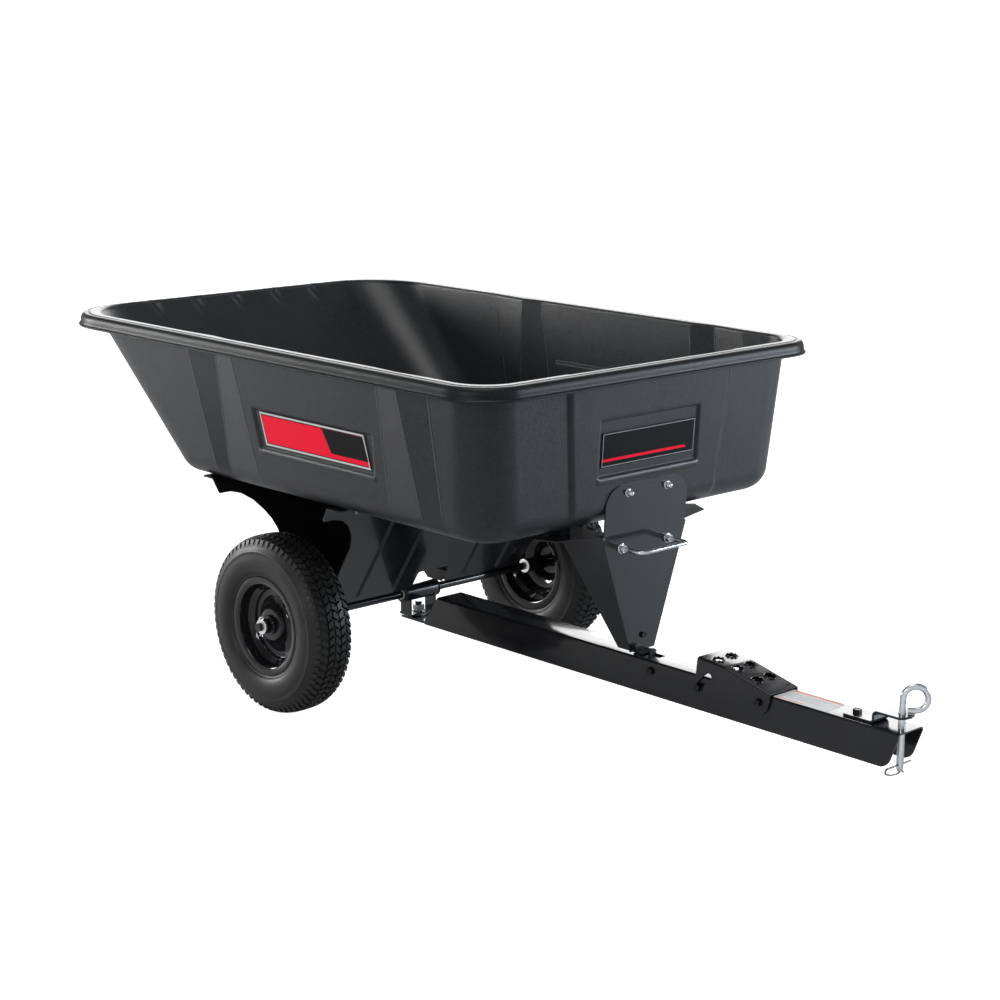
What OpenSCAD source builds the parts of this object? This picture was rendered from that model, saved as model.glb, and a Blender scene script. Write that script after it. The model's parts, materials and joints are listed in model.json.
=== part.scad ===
// Tow-behind dump cart with a swivelling, tipping tub.
// Frame: origin on the ground below the middle of the axle, +X to the hitch,
// +Y to the cart's left, +Z up. Lengths in millimetres.

/* [Wheels] */
// Outside diameter of a tyre
wheel_d = 406; // [396:1:410]
// Section width of a tyre
tyre_w = 118; // [110:1:124]
// Distance between the middles of the two tyres
track = 817; // [812:1:830]
// Diameter over the rim flanges
rim_d = 222; // [214:1:228]

/* [Axle and swivel] */
// Diameter of the axle
axle_d = 19; // [18:0.1:20]
// Outside diameter of the sleeve round the axle
sleeve_d = 38; // [34:1:42]
// Length of the sleeve
sleeve_len = 95; // [90:1:96]
// Diameter of the kingpin
kingpin_d = 16; // [14:1:18]
// Radial running clearance of every turning fit
run_gap = 0.05; // [0.02:0.01:0.09]

/* [Tub] */
// Front edge of the lip, from the axle
lip_front = 775; // [770:1:780]
// Rear edge of the lip, from the axle
lip_rear = 734; // [732:1:750]
// Width over the lip
lip_w = 1044; // [1040:1:1060]
// Height of the lip's top face
rim_z = 842; // [840:1:850]
// Depth of the lip's skirt
lip_h = 30; // [24:1:36]
// Height of the underside of the tub's floor
floor_z = 505; // [505:1:507]
// Width of the tub at its floor
floor_w = 915; // [905:1:920]
// Thickness of the tub's walls
wall_t = 5; // [4:0.5:6]
// How far the raised wall panels stand out
panel_out = 6; // [5:0.5:7]

/* [Tongue] */
// Width of the channel
beam_w = 78; // [76:1:80]
// Height of the channel
beam_h = 74; // [72:1:76]
// Height of the channel's top face
beam_top = 215; // [214:1:216]
// Front end of the channel's top face
beam_front = 1425; // [1420:1:1440]
// Sheet thickness of the frame steel
sheet = 3; // [2.5:0.5:3]

/* [Latch] */
// Place of the cam bolt along the tongue
cam_x = 921; // [918:1:924]
// Forward travel of the latch bar per radian of pedal, in millimetres
cam_rate = 124; // [110:1:126]
// Travel of the pedal in degrees
pedal_travel = 12; // [10:1:12]

/* [Hitch] */
// Diameter of the hitch pin
pin_d = 12.7; // [12:0.1:13]
// Place of the hitch pin along the tongue
pin_x = 1402; // [1398:1:1404]
// Clear height between the strap and the tongue
jaw_gap = 18; // [16:1:22]

/* [Hidden] */
$fn = 64;
eps = 0.5;
wheel_r = wheel_d / 2;
axle_z = wheel_r;
beam_z0 = beam_top - beam_h;
side_y = beam_w / 2;

steel_black = [0.06, 0.06, 0.065];
tub_grey = [0.16, 0.165, 0.17];
tyre_black = [0.08, 0.08, 0.085];
zinc = [0.75, 0.76, 0.78];
nylon_white = [0.85, 0.84, 0.8];
decal_red = [0.8, 0.05, 0.1];
decal_black = [0.05, 0.05, 0.05];
label_white = [0.93, 0.92, 0.88];

// Tub walls, worked outwards from the lip
wall_front = lip_front - 40;
wall_rear = lip_rear - 30;
wall_half = lip_w / 2 - 40;
floor_front = 719;
floor_rear = -367;
floor_half = floor_w / 2;
floor_fillet = 55;
floor_r = 95;
wall_rf = 90;
wall_rr = 165;
lip_rf = 111;
lip_rr = 177;
wall_top = rim_z - wall_t;
wall_foot = floor_z + floor_fillet;
side_tilt = atan((wall_half - floor_half) / (wall_top - wall_foot));
front_tilt = atan((wall_front - floor_front) / (wall_top - wall_foot));
boss_h = 18;
decal_t = 0.4;
recess = 2;

// Underframe
panel_tan = 0.635;
panel_tilt = atan(panel_tan);
panel_x0 = 15;
panel_z0 = 200;
tab_in = 50;
bush_r = 12.5;
bush_flange_r = 16;

// Front stand
bend_z = 478;
face_x = floor_front + panel_out + 0.2 - (wall_foot - bend_z) * tan(front_tilt);
plate_top = 590;
plate_half = 124;
face_low = 220;
low_half = 37;
wing_tilt = 19.1;
flange_z = floor_z - boss_h;
flange_bolt_x = 645;
flange_bolt_y = 175;
bolt_z = 572;
bolt_y = 59;
handle_z = 453;
handle_y = 71;
handle_r = 4.75;
striker_front = 745;
striker_bolt_z = 253;

// Latch and pedal
pivot_x = 1082;
pivot_z = 197;
bolt_r = 5;
cam_z = 190;
cross_x = 784;
cross_z = 193;
latch_travel = cam_rate * pedal_travel * PI / 180;
pedal_half = side_y + 5;
pedal_rear = [918, 256];
pedal_bend = [990, 250];
pedal_front = [1112, 221];
pedal_slope = (pedal_bend[1] - pedal_front[1]) / (pedal_front[0] - pedal_bend[0]);
bar_low = cross_z + bolt_r + 0.1;
bar_top = beam_top - sheet - 1;
bar_end = 935;
nose_x = striker_front + 1.2;
hook_x = 750;
hook_t = 4;
hook_top = 226;
hook_half = 9;
grip_r = 11.5;
grip_h = 3;
spring_seat = bar_end + 62;

// Hitch
strap_half = 25;
strap_t = 5;
jaw_z = beam_top + strap_t + jaw_gap;
strap_back = 1268;
strap_bolt_x = 1296;
strap_bend_x = 1354;
pin_low = 128;
clip_z = 141;
clip_r = 1.5;

// Hexagon prism standing on z = 0, sized across its flats.
module hex(flats, h) {
  cylinder(d = flats / cos(30), h = h, $fn = 6);
}

// Turns a part that stands along +Z so that it stands along +X.
module along_x() {
  rotate([0, 90, 0]) children();
}

// Turns a part that stands along +Z so that it stands along +Y.
module along_y() {
  rotate([-90, 0, 0]) children();
}

// Places a part on both sides of the cart.
module both_sides() {
  children();
  mirror([0, 1, 0]) children();
}

// Hexagon bolt with its head below z = 0 and its shank upwards.
module bolt(r, shank, flats, head) {
  translate([0, 0, -head / 2]) cylinder(r = r, h = shank + head / 2);
  translate([0, 0, -head]) hex(flats, head);
}

module nut(r, flats, h) {
  difference() {
    hex(flats, h);
    translate([0, 0, -1]) cylinder(r = r, h = h + 2);
  }
}

module washer(r_in, r_out, h) {
  difference() {
    cylinder(r = r_out, h = h);
    translate([0, 0, -1]) cylinder(r = r_in, h = h + 2);
  }
}

// ---- Tongue ----

// Side outline of the tongue's walls, X across and Z up.
module beam_side() {
  polygon([
    [beam_front, beam_top], [beam_front - 16, beam_z0 + 30], [beam_front - 34, beam_z0 + 8],
    [beam_front - 50, beam_z0], [66, beam_z0], [66, beam_z0 + 8], [115, beam_top]
  ]);
}

module tongue_beam() {
  color(steel_black) difference() {
    translate([0, side_y, 0]) rotate([90, 0, 0]) linear_extrude(beam_w) beam_side();
    translate([0, -side_y + sheet, beam_z0 - 1])
      cube([beam_front + 1, beam_w - 2 * sheet, beam_h - sheet + 1]);
    translate([nose_x - 3, -hook_half - 3, beam_top - sheet - 1])
      cube([latch_travel + 12, 2 * hook_half + 6, sheet + 2]);
    for (p = [[cross_x, cross_z], [pivot_x, pivot_z]])
      translate([p[0], -side_y - 1, p[1]]) along_y() cylinder(r = bolt_r + run_gap, h = beam_w + 2);
    cam_slot_straight();
    translate([strap_bolt_x, 0, beam_top - sheet - 1]) cylinder(r = bolt_r + 0.3, h = sheet + 2);
    translate([pin_x, 0, beam_top - sheet - 1]) cylinder(d = pin_d + 0.4, h = sheet + 2);
  }
}

// Level slot in both tongue walls that guides the cam bolt.
module cam_slot_straight() {
  slot_r = bolt_r + run_gap;
  translate([cam_x, -side_y - 1, cam_z - slot_r]) cube([latch_travel, beam_w + 2, 2 * slot_r]);
  for (x = [cam_x, cam_x + latch_travel])
    translate([x, -side_y - 1, cam_z]) along_y() cylinder(r = slot_r, h = beam_w + 2);
}

// Plate welded under the rear end of the tongue, which carries the kingpin.
module kingpin_plate() {
  color(steel_black) difference() {
    union() {
      translate([0, -side_y + sheet, beam_z0]) cube([150, beam_w - 2 * sheet, 6]);
      translate([-14, -side_y + sheet, beam_z0]) cube([14 + eps, beam_w - 2 * sheet, 6]);
      for (s = [-1, 1])
        translate([-14, s * (side_y - sheet - 16), beam_z0]) cylinder(r = 16, h = 6);
      translate([-30, -side_y + sheet + 16, beam_z0]) cube([20, beam_w - 2 * sheet - 32, 6]);
    }
    translate([0, 0, beam_z0 - 1]) cylinder(d = kingpin_d + 0.4, h = 8);
  }
}

module kingpin_bolt() {
  color(steel_black) translate([0, 0, beam_z0]) bolt(kingpin_d / 2, 37, 24, 10);
}

module kingpin_nut() {
  color(zinc) translate([0, 0, beam_z0 + 14.4]) {
    washer(kingpin_d / 2, 15, 2);
    translate([0, 0, 2.05]) nut(kingpin_d / 2, 24, 13);
  }
}

module thrust_washer() {
  color(nylon_white) translate([0, 0, beam_z0 + 6.1]) washer(kingpin_d / 2 + 0.2, 20, 2.8);
}

module cross_bolt() {
  color(steel_black) translate([cross_x, -side_y, cross_z]) along_y() bolt(bolt_r, beam_w + 10, 16, 6.5);
}

module cross_nut() {
  color(steel_black) translate([cross_x, side_y, cross_z]) along_y() nut(bolt_r, 16, 8);
}

module pedal_pivot_bolt() {
  color(steel_black) translate([pivot_x, -pedal_half - 0.3, pivot_z]) along_y()
    bolt(bolt_r, 2 * pedal_half + 10, 16, 6.5);
}

module pedal_pivot_nut() {
  color(steel_black) translate([pivot_x, pedal_half + 0.3, pivot_z]) along_y() nut(bolt_r, 16, 8);
}

// Tube on the pedal's pivot bolt that keeps the tongue's walls apart.
module pivot_spacer() {
  color(zinc) translate([pivot_x, -side_y + sheet, pivot_z]) along_y()
    washer(bolt_r + 0.2, 8, beam_w - 2 * sheet);
}

// Angle under the tongue's top face that the return spring pushes against.
module spring_stop() {
  color(steel_black) {
    translate([spring_seat, -14, cam_z - 16]) cube([sheet, 28, beam_top - sheet - cam_z + 16]);
    translate([spring_seat, -14, beam_top - 2 * sheet]) cube([24, 28, sheet]);
  }
}

// Compression coil between the latch bar and the spring stop, drawn as stacked rings.
module return_spring() {
  turns = 9;
  gap = (spring_seat - bar_end - 4) / (turns - 1);
  color(zinc) for (i = [0:turns - 1])
    translate([bar_end + 2 + i * gap, 0, cam_z]) along_x()
      rotate_extrude() translate([8, 0]) circle(r = 1.2, $fn = 16);
}

// ---- Hitch ----

module hitch_strap() {
  color(steel_black) difference() {
    union() {
      translate([strap_back, -strap_half, beam_top])
        cube([strap_bend_x - strap_back, 2 * strap_half, strap_t]);
      translate([strap_bend_x - strap_t, -strap_half, beam_top])
        cube([strap_t, 2 * strap_half, jaw_z - beam_top + eps]);
      translate([strap_bend_x - strap_t, -strap_half, jaw_z])
        cube([pin_x + 4 - strap_bend_x + strap_t, 2 * strap_half, strap_t]);
      translate([pin_x + 4, 0, jaw_z]) intersection() {
        cylinder(r = strap_half, h = strap_t);
        translate([-1, -strap_half, 0]) cube([strap_half - 6, 2 * strap_half, strap_t]);
      }
    }
    translate([strap_bolt_x, 0, beam_top - 1]) cylinder(r = bolt_r + 0.3, h = strap_t + 2);
    translate([pin_x, 0, beam_top - 1]) cylinder(d = pin_d + 0.4, h = jaw_z + strap_t - beam_top + 2);
  }
}

module strap_bolt() {
  color(steel_black) translate([strap_bolt_x, 0, beam_top + strap_t])
    mirror([0, 0, 1]) bolt(bolt_r, 22, 16, 7);
}

module strap_nut() {
  color(steel_black) translate([strap_bolt_x, 0, beam_top - sheet - 8]) nut(bolt_r, 16, 8);
}

// Blank sticker on the tongue's top face.
module tongue_label() {
  color(label_white) translate([1112, -side_y + 5, beam_top]) cube([132, beam_w - 10, decal_t]);
}

// Straight pin with an eye bent sideways at its top.
module hitch_pin() {
  eye_r = 24;
  eye_d = pin_d - 0.5;
  eye_z = jaw_z + strap_t + 7 + eye_r;
  color(zinc) difference() {
    translate([pin_x, 0, 0]) rotate([0, 0, 45]) {
      translate([0, 0, pin_low + 6]) cylinder(d = pin_d, h = eye_z - pin_low - 5);
      translate([0, 0, pin_low]) cylinder(d1 = pin_d - 5, d2 = pin_d, h = 6.01);
      translate([eye_r, 0, eye_z]) rotate([90, 0, 0]) rotate([0, 0, -120])
        rotate_extrude(angle = 300) translate([eye_r, 0]) circle(d = eye_d);
    }
    translate([pin_x, -pin_d, clip_z]) along_y() cylinder(r = clip_r + 0.3, h = 2 * pin_d);
  }
}

// Wire clip: a straight leg through the pin, a loop, and a bowed leg under its tip.
module hitch_clip() {
  drop = 22;
  color(zinc) {
    translate([pin_x, -46, clip_z]) along_y() cylinder(r = clip_r, h = 81);
    translate([pin_x, -46, clip_z - drop / 2]) rotate([0, 0, 90]) rotate([90, 0, 0]) rotate([0, 0, 90])
      rotate_extrude(angle = 180) translate([drop / 2, 0]) circle(r = clip_r);
    translate([pin_x, -46, clip_z - drop]) along_y() cylinder(r = clip_r, h = 58);
  }
}

// ---- Pedal and latch ----

// Side outline of the pedal's walls, X across and Z up.
module pedal_side() {
  polygon([
    [911, 172], pedal_rear, pedal_bend, pedal_front, [pedal_front[0], 205],
    [1104, 184], [1090, 172], [1075, 169]
  ]);
}

// Slot that turns the pedal's drop into the cam bolt's forward travel at a constant rate.
module cam_slot_curved() {
  steps = 8;
  slot_r = bolt_r + 0.4;
  function pose(i) = let(a = (i / steps) * (pedal_travel + 1) - 0.5)
    let(x = cam_x + cam_rate * a * PI / 180 - pivot_x, z = cam_z - pivot_z)
    [pivot_x + x * cos(a) + z * sin(a), pivot_z - x * sin(a) + z * cos(a)];
  function side(s) = [for (i = [0:steps]) let(t = pose(i + 0.5) - pose(i - 0.5))
    pose(i) + s * slot_r * [-t[1], t[0]] / norm(t)];
  far = side(-1);
  translate([0, pedal_half + 1, 0]) rotate([90, 0, 0]) linear_extrude(2 * pedal_half + 2) {
    polygon(concat(side(1), [for (i = [steps:-1:0]) far[i]]));
    for (end = [pose(0), pose(steps)])
      translate(end) circle(r = slot_r);
  }
}

// Places of the six grip holes on the pedal's top, X along it.
module grip_places() {
  tread_slope = (pedal_rear[1] - pedal_bend[1]) / (pedal_bend[0] - pedal_rear[0]);
  for (i = [0:2], s = [-1, 1])
    let(x = 955 + 52 * i, slope = x < pedal_bend[0] ? tread_slope : pedal_slope)
    translate([x, s * 20, pedal_bend[1] - (x - pedal_bend[0]) * slope])
      rotate([0, atan(slope), 0]) children();
}

module pedal() {
  past = 18;
  color(steel_black) difference() {
    union() {
      translate([0, pedal_half, 0]) rotate([90, 0, 0]) linear_extrude(2 * pedal_half) pedal_side();
      grip_places() translate([0, 0, -1]) cylinder(r = grip_r + 1.5, h = grip_h + 1);
    }
    translate([0, pedal_half - sheet, 0]) rotate([90, 0, 0]) linear_extrude(2 * (pedal_half - sheet))
      translate([0, -sheet]) polygon([
        [pedal_rear[0] - past, 160], pedal_rear + [-past, 1.5], pedal_rear, pedal_bend,
        pedal_front + past * [1, -pedal_slope], [pedal_front[0] + past, 160]
      ]);
    cam_slot_curved();
    translate([pivot_x, -pedal_half - 1, pivot_z]) along_y()
      cylinder(r = bolt_r + run_gap, h = 2 * pedal_half + 2);
    grip_places() cylinder(r = grip_r, h = 20, center = true);
    for (s = [-1, 1])
      translate([1100, s * 30, 200]) cylinder(r = 2, h = 40);
  }
}

module latch_bar() {
  color(zinc) difference() {
    translate([0, 3, 0]) rotate([90, 0, 0]) linear_extrude(6) polygon([
      [hook_x + hook_t, bar_low], [862, bar_low], [876, cam_z - 12], [bar_end, cam_z - 12],
      [bar_end, cam_z + 12], [885, bar_top], [hook_x + hook_t, bar_top]
    ]);
    translate([cam_x, -4, cam_z]) along_y() cylinder(r = bolt_r + run_gap, h = 8);
  }
}

// Bent plate at the rear of the latch bar, standing up through the tongue.
module latch_hook() {
  color(zinc) {
    translate([hook_x, -hook_half, bar_low]) cube([hook_t, 2 * hook_half, hook_top - bar_low]);
    translate([nose_x, -hook_half, hook_top - hook_t])
      cube([hook_x + hook_t - nose_x, 2 * hook_half, hook_t]);
  }
}

module cam_bolt() {
  color(steel_black) translate([cam_x, -pedal_half - 0.6, cam_z])
    along_y() bolt(bolt_r, 2 * pedal_half + 11, 16, 6.5);
}

module cam_nut() {
  color(steel_black) translate([cam_x, pedal_half + 0.6, cam_z]) along_y() nut(bolt_r, 16, 8);
}

// ---- Swivel, sleeve and axle ----

module swivel_bracket() {
  base = beam_z0 + 9;
  color(steel_black) difference() {
    union() {
      translate([-22, -40, base]) cube([44, 80, 5]);
      for (y = [-40, 36])
        translate([-18, y, base]) cube([36, 4, axle_z - base]);
    }
    translate([0, 0, base - 1]) cylinder(r = kingpin_d / 2 + run_gap, h = 7);
    translate([0, -60, axle_z]) along_y() cylinder(d = sleeve_d, h = 120);
  }
}

module axle_sleeve() {
  color(steel_black) translate([0, -sleeve_len / 2, axle_z])
    along_y() washer(axle_d / 2, sleeve_d / 2, sleeve_len);
}

module axle() {
  end_y = track / 2 + 66;
  color(steel_black) difference() {
    translate([0, -end_y, axle_z]) along_y() cylinder(d = axle_d, h = 2 * end_y);
    for (s = [-1, 1])
      translate([0, s * (end_y - 6), axle_z - axle_d]) cylinder(r = 2.3, h = 2 * axle_d);
  }
}

module axle_washers() {
  color(zinc) both_sides() {
    translate([0, track / 2 + 55, axle_z]) along_y() washer(axle_d / 2, 17, 2);
    translate([0, track / 2 - 62.5, axle_z]) along_y() washer(axle_d / 2, 17, 2);
  }
}

// Split pins through the axle's ends.
module cotter_pins() {
  color(zinc) both_sides() translate([0, track / 2 + 60, axle_z]) {
    translate([0, 0, -axle_d / 2 - 14]) cylinder(r = 2.2, h = axle_d + 16, $fn = 24);
    translate([0, 0, axle_d / 2 + 7.5]) rotate([90, 0, 0]) rotate_extrude($fn = 32)
      translate([5, 0]) circle(r = 1.6, $fn = 16);
  }
}

// ---- Wheels, drawn for the left side ----

// Half outline of the tyre: section from the bead over the sidewall to the tread.
module tyre_section() {
  w = tyre_w / 2;
  bead = rim_d / 2 - 6;
  polygon([
    [bead - 8, w - 19], [bead + 6.5, w - 14.5], [bead + 10, w - 9], [bead + 20, w - 4], [bead + 38, w],
    [bead + 58, w - 3], [wheel_r - 22, w - 9], [wheel_r - 8, w - 16], [wheel_r - 2, w - 30], [wheel_r, 0],
    [wheel_r - 2, 30 - w], [wheel_r - 8, 16 - w], [wheel_r - 22, 9 - w], [bead + 58, 3 - w],
    [bead + 38, -w], [bead + 20, 4 - w], [bead + 10, 9 - w], [bead + 6.5, 14.5 - w], [bead - 8, 19 - w],
    [bead + 4, 24 - w], [bead + 30, 14 - w], [wheel_r - 24, 22 - w], [wheel_r - 12, 0],
    [wheel_r - 24, w - 22], [bead + 30, w - 14], [bead + 4, w - 24]
  ]);
}

module tyre() {
  color(tyre_black) translate([0, track / 2, axle_z]) along_y() rotate_extrude($fn = 96) tyre_section();
}

// Rim: flanges, bead seats, drop well, dished disc and hub tube in one pressing.
module rim() {
  w = tyre_w / 2 - 14;
  f = rim_d / 2;
  seat = f - 15;
  color(steel_black) difference() {
    translate([0, track / 2, axle_z]) along_y() rotate_extrude($fn = 96) {
      polygon([
        [f, w], [f, w + 3], [seat - 3, w + 3], [seat - 3, 24], [seat - 18, 14], [seat - 18, -10],
        [seat - 3, -24], [seat - 3, -w - 3], [f, -w - 3], [f, -w], [seat, -w], [seat, -26],
        [seat - 15, -12], [seat - 15, 16], [seat, 26], [seat, w]
      ]);
      polygon([
        [16, 26], [34, 26], [46, 12], [66, 2], [seat - 16, 4],
        [seat - 16, 7], [66, 5], [48, 15], [36, 29], [16, 29]
      ]);
      translate([13, -58]) square([4, 110]);
    }
    at_valve(10) cylinder(r = 4.6, h = 50);
  }
}

// Places a part at the valve's hole in the rim, +Z outwards from the wheel's middle.
module at_valve(y) {
  valve_r = 82;
  translate([valve_r * cos(45), track / 2 + y, axle_z + valve_r * sin(45)]) along_y() children();
}

module wheel_bushings() {
  color(nylon_white) translate([0, track / 2, axle_z]) for (y = [-60, 24])
    translate([0, y, 0]) along_y() washer(axle_d / 2 + run_gap, 13, 30);
}

module valve() {
  color(tyre_black) at_valve(11) {
    cylinder(r = 4.5, h = 16);
    cylinder(r = 3.2, h = 32);
  }
}

// ---- Tub ----

// Flat-bottomed pad with a rounded lower edge, used at the tub's lower corners.
module corner_pad(r, fillet) {
  rotate_extrude($fn = 48) polygon(concat(
    [[0, 0]], [for (a = [0:15:90]) [r - fillet + fillet * sin(a), fillet - fillet * cos(a)]], [[0, fillet]]
  ));
}

// Solid block inside the tub's wall surface moved in by d.
module tub_block(d, top) {
  hull() for (s = [-1, 1]) {
    for (x = [floor_front - floor_r, floor_rear + floor_r])
      translate([x, s * (floor_half - floor_r), floor_z + d]) corner_pad(floor_r - d, floor_fillet - d);
    translate([wall_front - wall_rf, s * (wall_half - wall_rf), wall_top])
      cylinder(r = wall_rf - d, h = top, $fn = 48);
    translate([-wall_rear + wall_rr, s * (wall_half - wall_rr), wall_top])
      cylinder(r = wall_rr - d, h = top, $fn = 48);
  }
}

// Rounded rectangle of the lip, moved in by d.
module lip_outline(d) {
  rf = lip_rf - d;
  rr = lip_rr - d;
  x0 = -lip_rear + d;
  x1 = lip_front - d;
  w = lip_w / 2 - d;
  translate([x0 + rr, -w]) square([x1 - rf - x0 - rr, 2 * w]);
  translate([x0, rr - w]) square([rr + eps, 2 * (w - rr)]);
  translate([x1 - rf - eps, rf - w]) square([rf + eps, 2 * (w - rf)]);
  for (s = [-1, 1]) {
    translate([x0 + rr, s * (w - rr)]) circle(r = rr);
    translate([x1 - rf, s * (w - rf)]) circle(r = rf);
  }
}

// Local frames on the walls: X along the wall, Y outwards, Z up the wall from wall_foot.
module on_left_wall() {
  translate([0, floor_half, wall_foot]) rotate([-side_tilt, 0, 0]) children();
}

module on_front_wall() {
  translate([floor_front, 0, wall_foot]) rotate([0, front_tilt, 0]) rotate([0, 0, -90]) children();
}

// Slab with the outline of its child, from y0 to y1 in a wall frame.
module wall_slab(y0, y1) {
  translate([0, y1, 0]) rotate([90, 0, 0]) linear_extrude(y1 - y0) children();
}

// Three-sided fold on a wall: high and low give its two feet and its apex, rise its height.
module wall_fold(high, low, rise) {
  top = wall_top - wall_foot - 20;
  foot = -rise / abs(rise);
  hull() {
    for (end = [[top, high, rise], [0, low, rise], [-30, low, 0.3 * rise]])
      translate([0, 0, end[0]]) linear_extrude(eps)
        polygon([[end[1][0], foot], [end[1][1], end[2]], [end[1][2], foot]]);
  }
}

// Inward crease of each side wall's rear half.
module side_groove() {
  wall_fold([-232, -141, -72], [-162, -122, -4], -panel_out);
}

// Outward crease of each side wall's front half.
module side_ridge() {
  wall_fold([415, 487, 574], [434, 544, 596], panel_out);
}

module side_recess() {
  polygon([[-14, 136], [390, 136], [390, 46], [2, 46]]);
}

module front_raise() {
  top = wall_top - wall_foot - 26;
  polygon([[-239, top], [239, top], [212, -14], [-212, -14]]);
}

module front_recess() {
  translate([-150, 48]) square([300, 126]);
}

module tub() {
  color(tub_grey) difference() {
    union() {
      tub_block(0, wall_t);
      translate([0, 0, wall_top]) linear_extrude(wall_t) lip_outline(0);
      translate([0, 0, rim_z - lip_h]) linear_extrude(lip_h) difference() {
        lip_outline(0);
        lip_outline(wall_t);
      }
      both_sides() on_left_wall() side_ridge();
      on_front_wall() wall_slab(-3, panel_out) front_raise();
      for (s = [-1, 1])
        translate([flange_bolt_x, s * flange_bolt_y, flange_z]) cylinder(r = 22, h = boss_h + 2);
    }
    difference() {
      tub_block(wall_t, wall_t + 10);
      both_sides() on_left_wall() translate([0, -wall_t, 0]) side_groove();
    }
    both_sides() on_left_wall() side_groove();
    both_sides() on_left_wall() wall_slab(-recess, panel_out + 1) side_recess();
    on_front_wall() wall_slab(panel_out - recess, panel_out + 1) front_recess();
    both_sides() saddle_bolt_places() cylinder(r = 4.4, h = 60, center = true);
    both_sides() translate([flange_bolt_x, flange_bolt_y, floor_z]) cylinder(r = 4.4, h = 60, center = true);
    for (s = [-1, 1])
      at_stand_bolt(s) cylinder(r = 4.4, h = 60, center = true);
  }
}

module side_decals() {
  color(decal_red) both_sides() on_left_wall()
    wall_slab(-recess + 0.05, -recess + decal_t) polygon([[10, 132], [362, 132], [378, 60], [26, 60]]);
}

module front_decal() {
  color(decal_black) on_front_wall()
    wall_slab(panel_out - recess + 0.05, panel_out - recess + decal_t)
      translate([-141, 74]) square([282, 73]);
}

// ---- Underframe ----

module saddle_bolt_places() {
  for (x = [-226, 226], y = [150, 375])
    translate([x, y, floor_z]) children();
}

// Outline of one inclined panel: Y across, and up the slope from panel_z0.
module saddle_outline() {
  c = cos(panel_tilt);
  function up(z) = (z - panel_z0) / c;
  foot = 357;
  half = [
    [49, up(267)], [49, up(222)], [292, up(222)], [314, up(314)], [316, up(384)], [322, up(404)],
    [334, up(424)], [352, up(446)], [378, up(464)], [404, up(471)], [436, up(471)], [440, foot]
  ];
  polygon(concat([for (p = half) p], [for (i = [len(half) - 1:-1:0]) [-half[i][0], half[i][1]]]));
}

// Front panel of the V, with its rib pressings and its top flange.
module saddle_panel() {
  color(steel_black) difference() {
    union() {
      translate([panel_x0, 0, panel_z0]) rotate([0, panel_tilt, 0]) rotate([90, 0, 90]) {
        translate([0, 0, -sheet]) linear_extrude(sheet) saddle_outline();
        for (y = [-218, -108, 108, 218])
          translate([y - 6, 36, -eps]) cube([12, 285, 3 + eps]);
      }
      translate([203, -440, floor_z - sheet]) cube([44, 880, sheet]);
    }
    for (s = [-1, 1], y = [150, 375])
      translate([226, s * y, floor_z - 10]) cylinder(r = 4.4, h = 20);
  }
}

module saddle_front_panel() {
  saddle_panel();
}

module saddle_rear_panel() {
  mirror([1, 0, 0]) saddle_panel();
}

// Inner face of the front panel at a height above the axle.
function panel_in(h) = panel_x0 + panel_tan * (axle_z + h - panel_z0) - sheet / cos(panel_tilt);

// Upright tabs between the two panels, which the axle passes through.
module saddle_tabs() {
  color(steel_black) both_sides() difference() {
    translate([0, tab_in + sheet, axle_z]) rotate([90, 0, 0]) linear_extrude(sheet) {
      polygon([[-panel_in(47), 47], [panel_in(47), 47], [panel_in(19), 19], [-panel_in(19), 19]]);
      circle(r = 20);
    }
    translate([0, 0, axle_z]) along_y() cylinder(r = bush_r, h = 100);
  }
}

module saddle_bushings() {
  color(nylon_white) both_sides() translate([0, tab_in - 2, axle_z]) along_y() {
    washer(axle_d / 2 + run_gap, bush_r, sheet + 5);
    washer(axle_d / 2 + run_gap, bush_flange_r, 2);
  }
}

module saddle_bolts() {
  color(zinc) both_sides() saddle_bolt_places() {
    translate([0, 0, wall_t]) cylinder(r = 9.5, h = 4);
    translate([0, 0, -18]) cylinder(r = 4, h = 19 + wall_t);
  }
}

module saddle_nuts() {
  color(zinc) both_sides() saddle_bolt_places() translate([0, 0, -sheet - 7]) nut(4, 13, 7);
}

// ---- Front stand ----

// Places a part at a bolt through the tub's front wall, +Z outwards.
module at_stand_bolt(s) {
  on_front_wall() translate([s * bolt_y, panel_out, bolt_z - wall_foot]) rotate([-90, 0, 0]) children();
}

// Upper plate outline in the front wall's frame: Y across, up from wall_foot.
module upper_plate_outline() {
  r = 45;
  low = bend_z - wall_foot;
  high = plate_top - wall_foot;
  translate([-plate_half, low]) square([2 * plate_half, high - r - low]);
  translate([-plate_half + r, high - r - eps]) square([2 * (plate_half - r), r + eps]);
  for (s = [-1, 1])
    translate([s * (plate_half - r), high - r]) circle(r = r);
}

// Wing bent back from the stand's face, cut level below its foot.
module stand_wing() {
  difference() {
    translate([face_x, low_half, face_low]) rotate([-wing_tilt, 0, 0]) rotate([90, 0, 0])
      linear_extrude(sheet) polygon([[sheet, 4], [-32, 4], [-124, 240], [-130, 279], [sheet, 279]]);
    translate([face_x - 200, 0, flange_z - sheet]) cube([240, 300, 40]);
  }
}

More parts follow.
